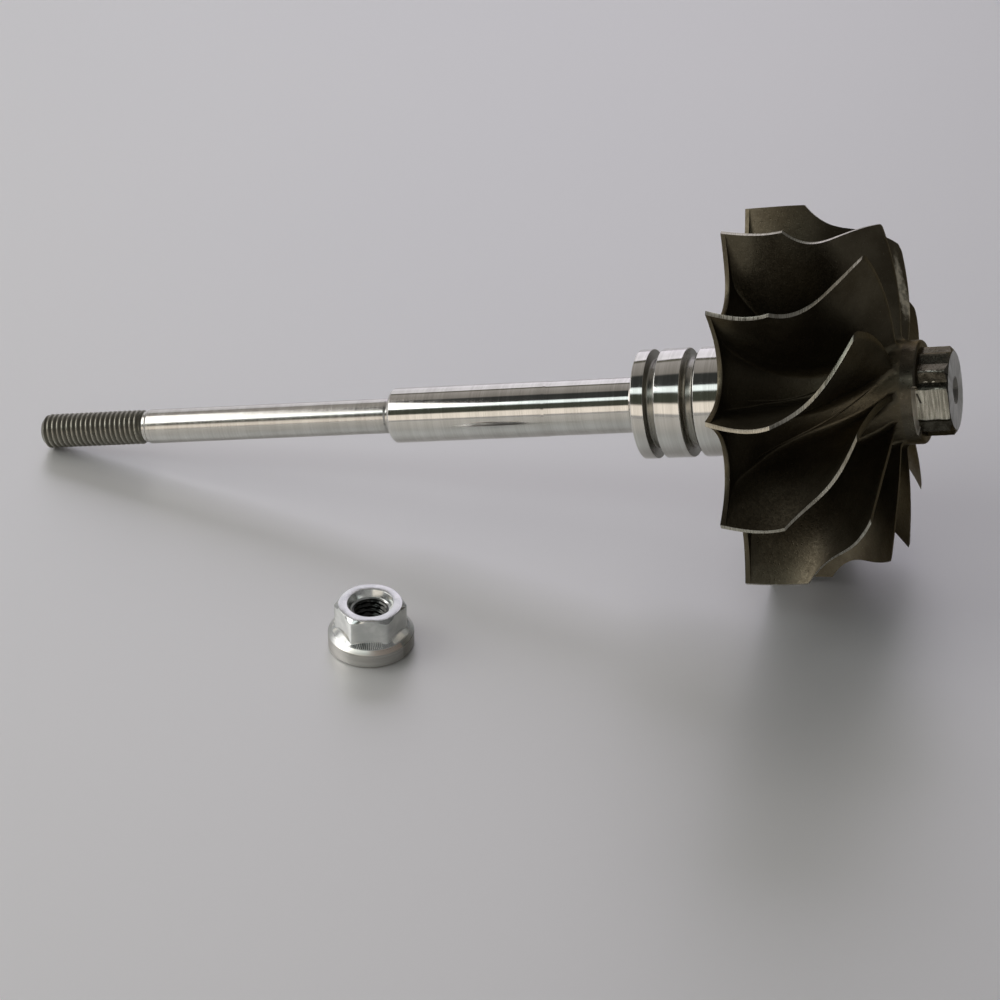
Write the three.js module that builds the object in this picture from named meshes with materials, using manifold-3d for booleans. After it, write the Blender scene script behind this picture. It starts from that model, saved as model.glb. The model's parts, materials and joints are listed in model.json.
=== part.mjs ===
// Turbocharger turbine wheel on its shaft, lying on a level floor, with its lock nut beside it.
// Millimetres, +Z up. The nose of the wheel points along +X, and the origin is on the floor
// in the middle of the footprint.

import * as THREE from 'three';
import { mergeVertices } from 'three/addons/utils/BufferGeometryUtils.js';
import Module from 'manifold-3d';

const wasm = await Module();
wasm.setup();

// Driving dimensions of the wheel. A station is a distance along the axis from the wheel's
// back plane: positive toward the nose, negative toward the shaft.
const wheelRadius = 42;
const bladeCount = 11;
const rimThickness = 1.3;
const scallopFloorRadius = 30.2;
const hubEndRadius = 11.4;
const hubEndStation = 38.6;
const hubFlareEnd = 31.5;
const hubFlarePower = 2.55;
const hubLip = 0.8;

// Blade outline seen from the side: the inlet edge stands at the wheel's full radius, the
// shroud edge drops to the outlet radius, and the outlet edge bows back toward its tip.
const inletWidth = 13.7;
const outletRadius = 36.8;
const shroudDropLength = 9.7;
const shroudDropPower = 2.6;
const outletTipStation = 31.0;
const outletRootStation = 33.6;
const outletBowRadius = 14;

// Blade twist in degrees: a slight lean back at the inlet, then a growing sweep.
const leanBack = 18.7;
const outletSweep = 91.9;
const sweepPower = 2.75;

const bladeTipThickness = 1.1;
const bladeOutletThickness = 0.8;
const bladeRootThickness = 3.0;
const rootSwellRate = 1.2;
const rootSwellStart = 0.02;
const rootSwellPower = 1.6;

// Twelve-point nose for the balancing tool, with a drilled centre. One of its points is
// ground away to balance the wheel, down to a flat that faces the given angle.
const noseAcrossFlats = 17;
const noseEndStation = 45.2;
const noseRoll = -2;
const noseGroundFlat = -80;
const centreDrillDiameter = 6.2;
const centreDrillDepth = 4.5;

// Shaft, from the wheel's back to the threaded end.
const bossLength = 10.7;
const bossFillet = 2.4;
const collarDiameter = 24.4;
const collarEndStation = -24.7;
const ringGrooveDiameter = 19.6;
const innerGroove = [-13.7, -10.9];
const outerGroove = [-21.8, -19.4];
const journalDiameter = 12.6;
const journalSplitStation = -46.5;
const journalEndStation = -84;
const stubDiameter = 8;
const threadStartStation = -146.2;
const shaftEndStation = -172.2;
const stubSocketDepth = 1.2;
const threadPitch = 1.25;
const threadDepth = 0.7;
const edgeChamfer = 0.5;
const edgeBreak = 0.1;
const threadChamfer = 1.0;

// Flanged lock nut.
const nutAcrossFlats = 14;
const nutHeight = 10.7;
const nutFlangeDiameter = 18.8;
const nutFlangeHeight = 4.2;
const nutFlangeBevel = 0.8;
const nutConeHeight = 0.9;
const nutBoreDiameter = 7.0;
const nutCountersink = 10;

// How the rotor lies: on two blade tips and on the end of its thread. The nut stands beside
// the shaft, one of its flats turned by nutTurn degrees from the -Y side.
const nutPlace = [-72, -56];
const nutTurn = 14;

// Pieces that touch keep this gap between their solids.
const gap = 0.3;

const turnSegments = 48;
const threadSegments = 20;
const hubSegments = 88;
const bladeColumns = 15;
const bladeRows = 5;

// How far a cutting shape stands past the surface that it cuts.
const cutClearance = 1;

const pitch = 2 * Math.PI / bladeCount;
const degrees = Math.PI / 180;

// Materials
const finish = (color, roughness, metalness) =>
  new THREE.MeshStandardMaterial({ color, roughness, metalness });
const castAlloy = () => finish(0x5b5346, 0.55, 0.85);
const groundSteel = () => finish(0xb9b6ae, 0.22, 1.0);
const turnedSteel = () => finish(0x97938a, 0.38, 1.0);
const threadSteel = () => finish(0x6e6a60, 0.5, 0.9);
const zincSteel = () => finish(0xb4b3ab, 0.35, 0.95);

// A named mesh
function piece(name, geometry, material) {
  const mesh = new THREE.Mesh(geometry, material);
  mesh.name = name;
  return mesh;
}

// Solids for joining and cutting
function toSolid(geometry) {
  const bare = geometry.clone();
  bare.deleteAttribute('normal');
  bare.deleteAttribute('uv');
  const coincident = 1e-4;
  const merged = mergeVertices(bare, coincident);
  const solid = new wasm.Mesh({
    numProp: 3,
    vertProperties: new Float32Array(merged.attributes.position.array),
    triVerts: new Uint32Array(merged.index.array),
  });
  return new wasm.Manifold(solid);
}

function toGeometry(solid) {
  const mesh = solid.getMesh();
  const geometry = new THREE.BufferGeometry();
  geometry.setAttribute('position', new THREE.BufferAttribute(mesh.vertProperties, 3));
  geometry.setIndex(new THREE.BufferAttribute(mesh.triVerts, 1));
  geometry.computeVertexNormals();
  return geometry;
}

// A turned shape: [radius, station] points revolved round the axis, which lies along +X.
function turned(profile, segments = turnSegments) {
  const points = profile.map(([radius, station]) => new THREE.Vector2(radius, station));
  return new THREE.LatheGeometry(points, segments).rotateZ(-Math.PI / 2);
}

// A solid bar between two stations, with its outer edges chamfered.
function bar(diameter, from, to, chamferFrom, chamferTo) {
  const radius = diameter / 2;
  return turned([
    [0, from],
    [radius - chamferFrom, from],
    [radius, from + chamferFrom],
    [radius, to - chamferTo],
    [radius - chamferTo, to],
    [0, to],
  ]);
}

// A bar with a right-hand thread cut round it. The rows of points follow the helix, root and
// crest in turn, and stop on the two end faces.
function threadedBar(diameter, from, to) {
  const crest = diameter / 2;
  const rows = 2 * (Math.ceil((to - from) / threadPitch) + 1);
  const positions = [from, 0, 0, to, 0, 0];
  const indices = [];
  const radiusAt = (station, share) => {
    const phase = (station - from) / threadPitch + share;
    const wave = 1 - Math.abs(2 * (phase - Math.floor(phase)) - 1);
    const cut = crest - threadDepth * (1 - wave);
    const endCone = crest - threadChamfer + station - from;
    return Math.min(cut, endCone, crest + to - station);
  };
  for (let segment = 0; segment <= threadSegments; segment += 1) {
    const share = segment / threadSegments;
    const angle = share * 2 * Math.PI;
    for (let row = 0; row <= rows; row += 1) {
      const helix = from + threadPitch * (row / 2 - share);
      const station = Math.min(to, Math.max(from, helix));
      const radius = radiusAt(station, share);
      positions.push(station, radius * Math.sin(angle), radius * Math.cos(angle));
    }
  }
  const at = (segment, row) => 2 + segment * (rows + 1) + row;
  for (let segment = 0; segment < threadSegments; segment += 1) {
    for (let row = 0; row < rows; row += 1) {
      indices.push(at(segment, row), at(segment, row + 1), at(segment + 1, row + 1));
      indices.push(at(segment, row), at(segment + 1, row + 1), at(segment + 1, row));
    }
    indices.push(0, at(segment, 0), at(segment + 1, 0));
    indices.push(1, at(segment + 1, rows), at(segment, rows));
  }
  return closed(positions, indices);
}

// Joins points that coincide and leaves out the triangles that this collapses.
function closed(positions, indices) {
  const loose = new THREE.BufferGeometry();
  loose.setAttribute('position', new THREE.Float32BufferAttribute(positions, 3));
  loose.setIndex(indices);
  const coincident = 1e-3;
  const merged = mergeVertices(loose, coincident);
  const kept = [];
  for (let first = 0; first < merged.index.count; first += 3) {
    const [a, b, c] = merged.index.array.slice(first, first + 3);
    if (a !== b && b !== c && c !== a) kept.push(a, b, c);
  }
  merged.setIndex(kept);
  merged.computeVertexNormals();
  return merged;
}

// A six-sided bar between two stations. The corners start at roll degrees from up.
function hexBar(acrossFlats, from, to, roll) {
  const cornerRadius = acrossFlats / 2 / Math.cos(Math.PI / 6);
  const shape = new THREE.Shape();
  for (let corner = 0; corner < 6; corner += 1) {
    const angle = roll * degrees + corner * Math.PI / 3;
    const y = cornerRadius * Math.sin(angle);
    const z = cornerRadius * Math.cos(angle);
    if (corner === 0) shape.moveTo(y, z);
    else shape.lineTo(y, z);
  }
  shape.closePath();
  const prism = new THREE.ExtrudeGeometry(shape, { depth: to - from, bevelEnabled: false });
  return alongAxis(prism, from);
}

// Turns an outline drawn in (y, z) and extruded by its depth so that it runs along +X.
function alongAxis(extruded, from) {
  const toAxis = new THREE.Matrix4().makeBasis(
    new THREE.Vector3(0, 1, 0),
    new THREE.Vector3(0, 0, 1),
    new THREE.Vector3(1, 0, 0),
  );
  return extruded.applyMatrix4(toAxis).translate(from, 0, 0);
}

// Hub radius at a station: a flare from the rim down to the plain end of the hub.
function hubRadius(station) {
  if (station >= hubFlareEnd) return hubEndRadius;
  const run = (hubFlareEnd - station) / (hubFlareEnd - rimThickness);
  const drop = Math.pow(1 - Math.pow(run, hubFlarePower), 1 / hubFlarePower);
  return wheelRadius - (wheelRadius - hubEndRadius) * drop;
}

// The same flare by an angle from 0 at the rim to 1 at its end, for even steps along it.
function hubFlarePoint(share) {
  const angle = share * Math.PI / 2;
  const run = Math.pow(Math.cos(angle), 2 / hubFlarePower);
  const drop = Math.pow(Math.sin(angle), 2 / hubFlarePower);
  return [
    wheelRadius - (wheelRadius - hubEndRadius) * drop,
    hubFlareEnd - (hubFlareEnd - rimThickness) * run,
  ];
}

// Hub: the flared core with its back disc, cut away between the blades.
function scallopCutter() {
  const halfWidth = wheelRadius * Math.sin(pitch / 2) - bladeTipThickness / 2;
  const rise = wheelRadius * Math.cos(pitch / 2) - scallopFloorRadius;
  const curvePower = 2.3;
  const steps = 9;
  const outward = 8;
  const shape = new THREE.Shape();
  const outline = [];
  for (let step = -steps; step <= steps; step += 1) {
    const across = halfWidth * step / steps;
    const share = Math.pow(Math.abs(step) / steps, curvePower);
    outline.push([across, scallopFloorRadius + rise * share]);
  }
  const [lastY, lastZ] = outline[outline.length - 1];
  const cornerY = lastY + outward * Math.sin(pitch / 2);
  const cornerZ = lastZ + outward * Math.cos(pitch / 2);
  outline.push([cornerY, cornerZ], [-cornerY, cornerZ]);
  outline.forEach(([y, z], index) => (index ? shape.lineTo(y, z) : shape.moveTo(y, z)));
  shape.closePath();
  const depth = inletWidth;
  const prism = new THREE.ExtrudeGeometry(shape, { depth, bevelEnabled: false });
  return toSolid(alongAxis(prism, -depth / 2));
}

function hubGeometry() {
  const flareSteps = 14;
  const profile = [[0, 0], [wheelRadius, 0]];
  for (let step = 0; step <= flareSteps; step += 1) {
    profile.push(hubFlarePoint(step / flareSteps));
  }
  const endFace = hubEndStation - gap / 2;
  profile.push([hubEndRadius, endFace - hubLip]);
  profile.push([hubEndRadius - hubLip * 0.3, endFace - hubLip * 0.3]);
  profile.push([hubEndRadius - hubLip, endFace]);
  profile.push([0, endFace]);
  let hub = toSolid(turned(profile, hubSegments));
  const cutter = scallopCutter();
  for (let index = 0; index < bladeCount; index += 1) {
    const turn = -(index + 0.5) * pitch / degrees;
    hub = hub.subtract(cutter.rotate([turn, 0, 0]));
  }
  return toGeometry(hub);
}

// Blade
function shroudRadius(station) {
  const run = Math.min(1, Math.max(0, (station - inletWidth) / shroudDropLength));
  return outletRadius + (wheelRadius - outletRadius) * Math.pow(1 - run, shroudDropPower);
}

function outletStation(radius) {
  const bow = Math.max(0, radius - outletBowRadius) / (outletRadius - outletBowRadius);
  return outletRootStation - (outletRootStation - outletTipStation) * bow * bow;
}

function twist(station) {
  const share = station / wheelRadius;
  return (outletSweep * Math.pow(share, sweepPower) - leanBack * share) * degrees;
}

function twistRate(station) {
  const step = 0.01;
  return (twist(station + step) - twist(station)) / step;
}

// Where a blade lies in the side view, by the share along it (inlet 0, outlet 1) and the
// share across it (root 0, shroud 1), blended from its four edges.
function bladePoint(along, across) {
  const rootShare = rootFlareShare(along);
  const rootStart = rimThickness + gap;
  const rootLine = (share) => {
    const station = rootStart + (outletRootStation - rootStart) * share;
    return [station, Math.min(wheelRadius, hubRadius(station - gap) + gap)];
  };
  const shroudLine = (share) => {
    const station = inletWidth + (outletTipStation - inletWidth) * share;
    return [station, shroudRadius(station)];
  };
  const inletLine = (share) => [rootStart + (inletWidth - rootStart) * share, wheelRadius];
  const outletRoot = hubEndRadius + gap;
  const outletLine = (share) => {
    const radius = outletRoot + (outletRadius - outletRoot) * share;
    return [outletStation(radius), radius];
  };
  const root = rootLine(rootShare);
  const shroud = shroudLine(along);
  const inlet = inletLine(across);
  const outlet = outletLine(across);
  const corners = [inletLine(0), inletLine(1), outletLine(0), outletLine(1)];
  return [0, 1].map((axis) => {
    const edges = (1 - across) * root[axis] + across * shroud[axis]
      + (1 - along) * inlet[axis] + along * outlet[axis];
    const bilinear = (1 - along) * ((1 - across) * corners[0][axis] + across * corners[1][axis])
      + along * ((1 - across) * corners[2][axis] + across * corners[3][axis]);
    return edges - bilinear;
  });
}

// Spreads the root stations: close together on the steep flare, wider toward the outlet.
function rootFlareShare(along) {
  return 1 - Math.pow(Math.cos(along * Math.PI / 2), 2 / hubFlarePower);
}

function bladeThickness(along, across) {
  const swell = Math.min(1, along * rootSwellRate + rootSwellStart);
  const root = bladeTipThickness
    + (bladeRootThickness - bladeTipThickness) * Math.sin(Math.PI * swell);
  const tip = bladeTipThickness + (bladeOutletThickness - bladeTipThickness) * along * along;
  return tip + (Math.max(root, tip) - tip) * Math.pow(1 - across, rootSwellPower);
}

// One side of a blade is a grid of points. The two sides differ by half the thickness,
// turned round the axis, so that every edge stays on its turned surface.
function bladeVertex(along, across, side, roll) {
  const [station, radius] = bladePoint(along, across);
  const slope = radius * twistRate(station);
  const half = bladeThickness(along, across) / 2 * Math.hypot(1, slope);
  const angle = roll + twist(station) + side * half / radius;
  return [station, radius * Math.sin(angle), radius * Math.cos(angle)];
}

function bladeGeometry(roll) {
  const positions = [];
  const indices = [];
  const sideSize = (bladeColumns + 1) * (bladeRows + 1);
  const at = (side, column, row) => side * sideSize + column * (bladeRows + 1) + row;
  for (const side of [-1, 1]) {
    for (let column = 0; column <= bladeColumns; column += 1) {
      for (let row = 0; row <= bladeRows; row += 1) {
        positions.push(...bladeVertex(column / bladeColumns, row / bladeRows, side, roll));
      }
    }
  }
  const quad = (a, b, c, d) => indices.push(a, b, c, a, c, d);
  for (let column = 0; column < bladeColumns; column += 1) {
    for (let row = 0; row < bladeRows; row += 1) {
      quad(at(0, column, row), at(0, column + 1, row),
        at(0, column + 1, row + 1), at(0, column, row + 1));
      quad(at(1, column, row), at(1, column, row + 1),
        at(1, column + 1, row + 1), at(1, column + 1, row));
    }
  }
  for (let column = 0; column < bladeColumns; column += 1) {
    quad(at(0, column, 0), at(1, column, 0), at(1, column + 1, 0), at(0, column + 1, 0));
    quad(at(0, column, bladeRows), at(0, column + 1, bladeRows),
      at(1, column + 1, bladeRows), at(1, column, bladeRows));
  }
  for (let row = 0; row < bladeRows; row += 1) {
    quad(at(0, 0, row), at(0, 0, row + 1), at(1, 0, row + 1), at(1, 0, row));
    quad(at(0, bladeColumns, row), at(1, bladeColumns, row),
      at(1, bladeColumns, row + 1), at(0, bladeColumns, row + 1));
  }
  const geometry = new THREE.BufferGeometry();
  geometry.setAttribute('position', new THREE.Float32BufferAttribute(positions, 3));
  geometry.setIndex(indices);
  geometry.computeVertexNormals();
  return geometry;
}

// Nose: two hexagons half a side apart make its twelve points. It is chamfered at its end,
// with a centre drilled into the end face.
function noseGeometry() {
  const from = hubEndStation + gap / 2;
  const cornerRadius = noseAcrossFlats / 2 / Math.cos(Math.PI / 6);
  const chamfer = cornerRadius - noseAcrossFlats / 2;
  const turnedOutline = toSolid(turned([
    [0, from],
    [cornerRadius + cutClearance, from],
    [cornerRadius + cutClearance, noseEndStation - chamfer - cutClearance],
    [noseAcrossFlats / 2, noseEndStation],
    [0, noseEndStation],
  ]));
  const star = [noseRoll, noseRoll + 30]
    .map((roll) => toSolid(hexBar(noseAcrossFlats, from, noseEndStation, roll)))
    .reduce((first, second) => first.add(second));
  const drillRadius = centreDrillDiameter / 2;
  const pilotRadius = 1.2;
  const coneDepth = drillRadius - pilotRadius;
  const drill = toSolid(turned([
    [0, noseEndStation - centreDrillDepth],
    [pilotRadius, noseEndStation - centreDrillDepth + pilotRadius],
    [pilotRadius, noseEndStation - coneDepth],
    [drillRadius, noseEndStation],
    [drillRadius, noseEndStation + cutClearance],
    [0, noseEndStation + cutClearance],
  ], turnSegments / 2));
  return toGeometry(star.intersect(turnedOutline).subtract(groundFlatCutter()).subtract(drill));
}

// The block that takes the ground point down, as deep as the hexagons' own sides.
function groundFlatCutter() {
  const depth = 2 * (noseEndStation - hubEndStation);
  const flat = noseAcrossFlats / 2;
  const shape = new THREE.Shape();
  shape.moveTo(-flat, flat);
  shape.lineTo(flat, flat);
  shape.lineTo(flat, 2 * flat);
  shape.lineTo(-flat, 2 * flat);
  shape.closePath();
  const block = new THREE.ExtrudeGeometry(shape, { depth, bevelEnabled: false });
  const start = hubEndStation - depth / 4;
  return toSolid(alongAxis(block, start)).rotate([-noseGroundFlat, 0, 0]);
}

// Boss on the wheel's back, where the shaft is welded on.
function bossGeometry() {
  const radius = collarDiameter / 2;
  const to = -gap;
  const from = -bossLength + gap / 2;
  const filletSteps = 4;
  const profile = [[0, from], [radius - edgeChamfer, from], [radius, from + edgeChamfer]];
  for (let step = 0; step <= filletSteps; step += 1) {
    const angle = step / filletSteps * Math.PI / 2;
    profile.push([
      radius + bossFillet * (1 - Math.cos(angle)),
      to - bossFillet * (1 - Math.sin(angle)),
    ]);
  }
  profile.push([0, to]);
  return turned(profile);
}

// Collar with its two ring grooves.
function collarGeometry() {
  const radius = collarDiameter / 2;
  const floor = ringGrooveDiameter / 2;
  const from = collarEndStation + gap / 2;
  const to = -bossLength - gap / 2;
  return turned([
    [0, from],
    [radius - edgeChamfer, from],
    [radius, from + edgeChamfer],
    [radius, outerGroove[0]],
    [floor, outerGroove[0]],
    [floor, outerGroove[1]],
    [radius, outerGroove[1]],
    [radius, innerGroove[0]],
    [floor, innerGroove[0]],
    [floor, to],
    [0, to],
  ]);
}

// Outer journal: the thinner end of the shaft sits in a shallow socket in its shoulder.
function outerJournalGeometry() {
  const radius = journalDiameter / 2;
  const socketRadius = stubDiameter / 2 + gap;
  const to = journalSplitStation - gap / 2;
  return turned([
    [0, journalEndStation + stubSocketDepth],
    [socketRadius, journalEndStation + stubSocketDepth],
    [socketRadius, journalEndStation],
    [radius - edgeChamfer, journalEndStation],
    [radius, journalEndStation + edgeChamfer],
    [radius, to - edgeBreak],
    [radius - edgeBreak, to],
    [0, to],
  ]);
}

// Nut: a hexagon with both ends chamfered, over a round flange, both bored through.
function nutHexGeometry() {
  const from = nutFlangeHeight + gap;
  const cornerRadius = nutAcrossFlats / 2 / Math.cos(Math.PI / 6);
  const boreRadius = nutBoreDiameter / 2;
  const coneRadius = nutFlangeDiameter / 2 - nutFlangeBevel;
  const sinkRadius = nutCountersink / 2;
  const topChamfer = (cornerRadius - nutAcrossFlats / 2) * Math.tan(30 * degrees);
  const outline = toSolid(turned([
    [boreRadius, from],
    [coneRadius, from],
    [cornerRadius, from + nutConeHeight],
    [cornerRadius, nutHeight - topChamfer],
    [nutAcrossFlats / 2, nutHeight],
    [sinkRadius, nutHeight],
    [boreRadius, nutHeight - (sinkRadius - boreRadius)],
    [boreRadius, from],
  ]));
  const hex = toSolid(hexBar(nutAcrossFlats, from + nutConeHeight, nutHeight, 0));
  const cone = toSolid(turned([
    [0, from],
    [coneRadius, from],
    [nutAcrossFlats / 2, from + nutConeHeight],
    [0, from + nutConeHeight],
  ]));
  return toGeometry(outline.intersect(hex.add(cone)));
}

function nutFlangeGeometry() {
  const radius = nutFlangeDiameter / 2;
  const boreRadius = nutBoreDiameter / 2;
  return turned([
    [boreRadius, edgeChamfer],
    [boreRadius + edgeChamfer, 0],
    [radius - edgeChamfer, 0],
    [radius, edgeChamfer],
    [radius, nutFlangeHeight - nutFlangeBevel],
    [radius - nutFlangeBevel, nutFlangeHeight],
    [boreRadius, nutFlangeHeight],
    [boreRadius, edgeChamfer],
  ]);
}

// The rotor, built along +X with one blade straight up.
const rotor = new THREE.Group();
rotor.add(piece('hub', hubGeometry(), castAlloy()));
for (let index = 0; index < bladeCount; index += 1) {
  const name = `blade_${String(index + 1).padStart(2, '0')}`;
  rotor.add(piece(name, bladeGeometry(index * pitch), castAlloy()));
}
rotor.add(piece('nose_12_point', noseGeometry(), castAlloy()));
rotor.add(piece('weld_boss', bossGeometry(), turnedSteel()));
rotor.add(piece('seal_collar', collarGeometry(), groundSteel()));
const innerJournal = bar(
  journalDiameter, journalSplitStation + gap / 2, collarEndStation - gap / 2,
  edgeBreak, edgeBreak);
rotor.add(piece('inner_journal', innerJournal, groundSteel()));
rotor.add(piece('outer_journal', outerJournalGeometry(), groundSteel()));
const stubRoot = journalEndStation + stubSocketDepth - gap;
const stub = bar(
  stubDiameter, threadStartStation + gap / 2, stubRoot, edgeBreak, edgeBreak);
rotor.add(piece('compressor_stub', stub, turnedSteel()));
const thread = threadedBar(stubDiameter, shaftEndStation, threadStartStation - gap / 2);
rotor.add(piece('threaded_end', thread, threadSteel()));

// The rotor lies on two neighbouring blade tips and on the end of its thread, so its axis
// slopes up toward the nose.
const tipHalfAngle = Math.asin(bladeTipThickness / 2 / wheelRadius);
const tipDrop = wheelRadius * Math.cos(pitch / 2 - tipHalfAngle);
const endContact = shaftEndStation + threadChamfer;
const slope = Math.atan2(tipDrop - stubDiameter / 2, -endContact);
rotor.rotation.y = -slope;
rotor.position.z = tipDrop * Math.cos(slope);

// The nut stands on the floor with its bore upright.
const nut = new THREE.Group();
nut.add(piece('nut_hex', nutHexGeometry(), zincSteel()));
nut.add(piece('nut_flange', nutFlangeGeometry(), zincSteel()));
nut.rotation.y = -Math.PI / 2;
const nutStand = new THREE.Group();
nutStand.add(nut);
nutStand.position.set(nutPlace[0], nutPlace[1], 0);
nutStand.rotation.z = nutTurn * degrees;

const group = new THREE.Group();
group.add(rotor, nutStand);

// The origin is moved to the middle of the footprint, on the floor.
group.updateMatrixWorld(true);
const bounds = new THREE.Box3().setFromObject(group, true);
const middle = bounds.getCenter(new THREE.Vector3());
group.position.set(-middle.x, -middle.y, -bounds.min.z);

export default group;
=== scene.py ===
"""The turbine wheel, its shaft and its lock nut, finished for rendering on a pale floor.

Shapes are worked out in millimetres in the rotor's own frame: a station is a distance along
the axis from the wheel's back plane, positive toward the nose, and an angle is measured
round the axis from straight up toward +Y. The objects themselves are in metres.
"""

import json
import math

import bpy
import bmesh
import numpy as np
from mathutils import Matrix, Vector, noise


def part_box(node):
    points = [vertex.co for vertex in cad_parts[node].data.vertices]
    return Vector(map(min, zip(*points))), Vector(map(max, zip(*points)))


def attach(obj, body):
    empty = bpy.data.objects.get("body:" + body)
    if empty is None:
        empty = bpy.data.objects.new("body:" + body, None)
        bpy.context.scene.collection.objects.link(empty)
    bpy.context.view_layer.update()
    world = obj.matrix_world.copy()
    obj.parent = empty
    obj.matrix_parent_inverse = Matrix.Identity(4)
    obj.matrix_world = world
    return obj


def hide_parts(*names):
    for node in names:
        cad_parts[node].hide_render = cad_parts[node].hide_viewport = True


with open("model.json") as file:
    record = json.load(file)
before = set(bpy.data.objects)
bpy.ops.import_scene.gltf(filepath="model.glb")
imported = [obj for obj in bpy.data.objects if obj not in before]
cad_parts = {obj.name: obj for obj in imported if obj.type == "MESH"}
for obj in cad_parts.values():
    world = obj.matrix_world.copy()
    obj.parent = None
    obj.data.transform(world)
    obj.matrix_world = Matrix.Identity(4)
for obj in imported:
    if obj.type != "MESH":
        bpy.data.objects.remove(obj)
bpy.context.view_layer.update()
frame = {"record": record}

MM = 0.001

# Wheel
WHEEL_RADIUS = 42
BLADE_COUNT = 11
RIM_THICKNESS = 1.3
SCALLOP_FLOOR_RADIUS = 30.2
SCALLOP_POWER = 2.3
HUB_END_RADIUS = 11.4
HUB_END_STATION = 38.6
HUB_FLARE_END = 31.5
HUB_FLARE_POWER = 2.55
HUB_LIP = 0.8

# The back disc's edge is thinner than the flare that runs into it
EDGE_THICKNESS = 1.1
EDGE_THINNING = 1.25
THINNING_RADII = (22, 30.2)

# Blade outline in the side view
INLET_WIDTH = 13.7
OUTLET_RADIUS = 36.8
SHROUD_DROP_LENGTH = 9.7
SHROUD_DROP_POWER = 2.6
OUTLET_TIP_STATION = 31.0
OUTLET_ROOT_STATION = 33.6
OUTLET_BOW_RADIUS = 14
OUTLET_FLARE = 1.5

# Blade twist in degrees and thickness in millimetres
LEAN_BACK = 18.7
OUTLET_SWEEP = 91.9
SWEEP_POWER = 2.75
BLADE_TIP_THICKNESS = 0.92
BLADE_OUTLET_THICKNESS = 0.72
BLADE_ROOT_THICKNESS = 2.6
ROOT_SWELL_RATE = 1.2
ROOT_SWELL_START = 0.02
ROOT_SWELL_POWER = 1.6
ROOT_FILLET = 2.6
OUTLET_FILLET = 1.1
OUTLET_TIP_ROUND = 0.8

# Twelve-point nose. One of its points is ground away, down to a flat facing an angle.
NOSE_ACROSS_FLATS = 17
NOSE_END_STATION = 45.2
NOSE_ROLL = -2
NOSE_GROUND_FLAT = -80
NOSE_FACE_RADIUS = 8.55
NOSE_CHAMFER_SLOPE = 0.65
CENTRE_DRILL_DIAMETER = 6.2
CENTRE_PILOT_DIAMETER = 3.0
CENTRE_DRILL_DEPTH = 4.5

# Balance cut in the end face of the hub: from one angle to another, in degrees
BALANCE_CUT = (-115, -53)
BALANCE_CUT_DEPTH = 0.42
BALANCE_CUT_SLOPE = 0.4

# Shaft
BOSS_LENGTH = 10.7
BOSS_FILLET = 2.4
COLLAR_DIAMETER = 24.4
COLLAR_END = -24.7
RING_GROOVE_DIAMETER = 19.6
INNER_GROOVE = (-13.5, -10.75)
OUTER_GROOVE = (-21.75, -19.4)
JOURNAL_DIAMETER = 12.6
JOURNAL_SPLIT = -46.5
JOURNAL_END = -84
STUB_DIAMETER = 8
THREAD_START = -146.2
SHAFT_END = -172.2
EDGE_CHAMFER = 0.5
THREAD_CHAMFER = 1.0
THREAD_PITCH = 1.25
THREAD_RELIEF = 0.45

# Lock nut
NUT_ACROSS_FLATS = 14
NUT_HEIGHT = 10.7
NUT_FLANGE_DIAMETER = 18.8
NUT_FLANGE_HEIGHT = 4.2
NUT_FLANGE_BEVEL = 0.85
NUT_CONE_SLOPE = 0.62
NUT_BORE_DIAMETER = 7.0
NUT_COUNTERSINK = 10
NUT_COUNTERSINK_DEPTH = 1.8
NUT_CHAMFER = 0.4
NUT_CHAMFER_SLOPE = 0.42
NUT_THREAD_DEPTH = 0.5
NUT_TURN = 14
NUT_FRONT_SIDE = 4

# Teeth under each side of the nut's hexagon: how many, how far round, and height and half width
TEETH = 14
TEETH_SPREAD = 0.36
FRONT_TEETH = (0.3, 0.14)
OTHER_TEETH = (0.1, 0.19)

PITCH = 2 * math.pi / BLADE_COUNT


# Frames

def rotor_matrix():
    """Rotor frame: the record's mount on the shaft's end face gives its place and axis."""
    end = next(mount for mount in frame["record"]["mounts"] if mount["name"] == "shaft_end")
    axis = -Vector(end["axis"]).normalized()
    origin = Vector(end["pos_m"]) - axis * (SHAFT_END * MM)
    side = Vector((0, 1, 0))
    up = axis.cross(side)
    turn = Matrix((axis, side, up)).transposed().to_4x4()
    return Matrix.Translation(origin) @ turn


def nut_matrix():
    """Nut frame: on the floor under the middle of its flange, turned as it stands."""
    low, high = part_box("nut_flange")
    middle = (low + high) / 2
    place = Matrix.Translation((middle.x, middle.y, low.z))
    return place @ Matrix.Rotation(math.radians(NUT_TURN), 4, "Z")


ROTOR = rotor_matrix()
NUT = nut_matrix()


# Mesh helpers

def put(name, data):
    made = bpy.data.objects.new(name, data)
    bpy.context.scene.collection.objects.link(made)
    return made


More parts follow.
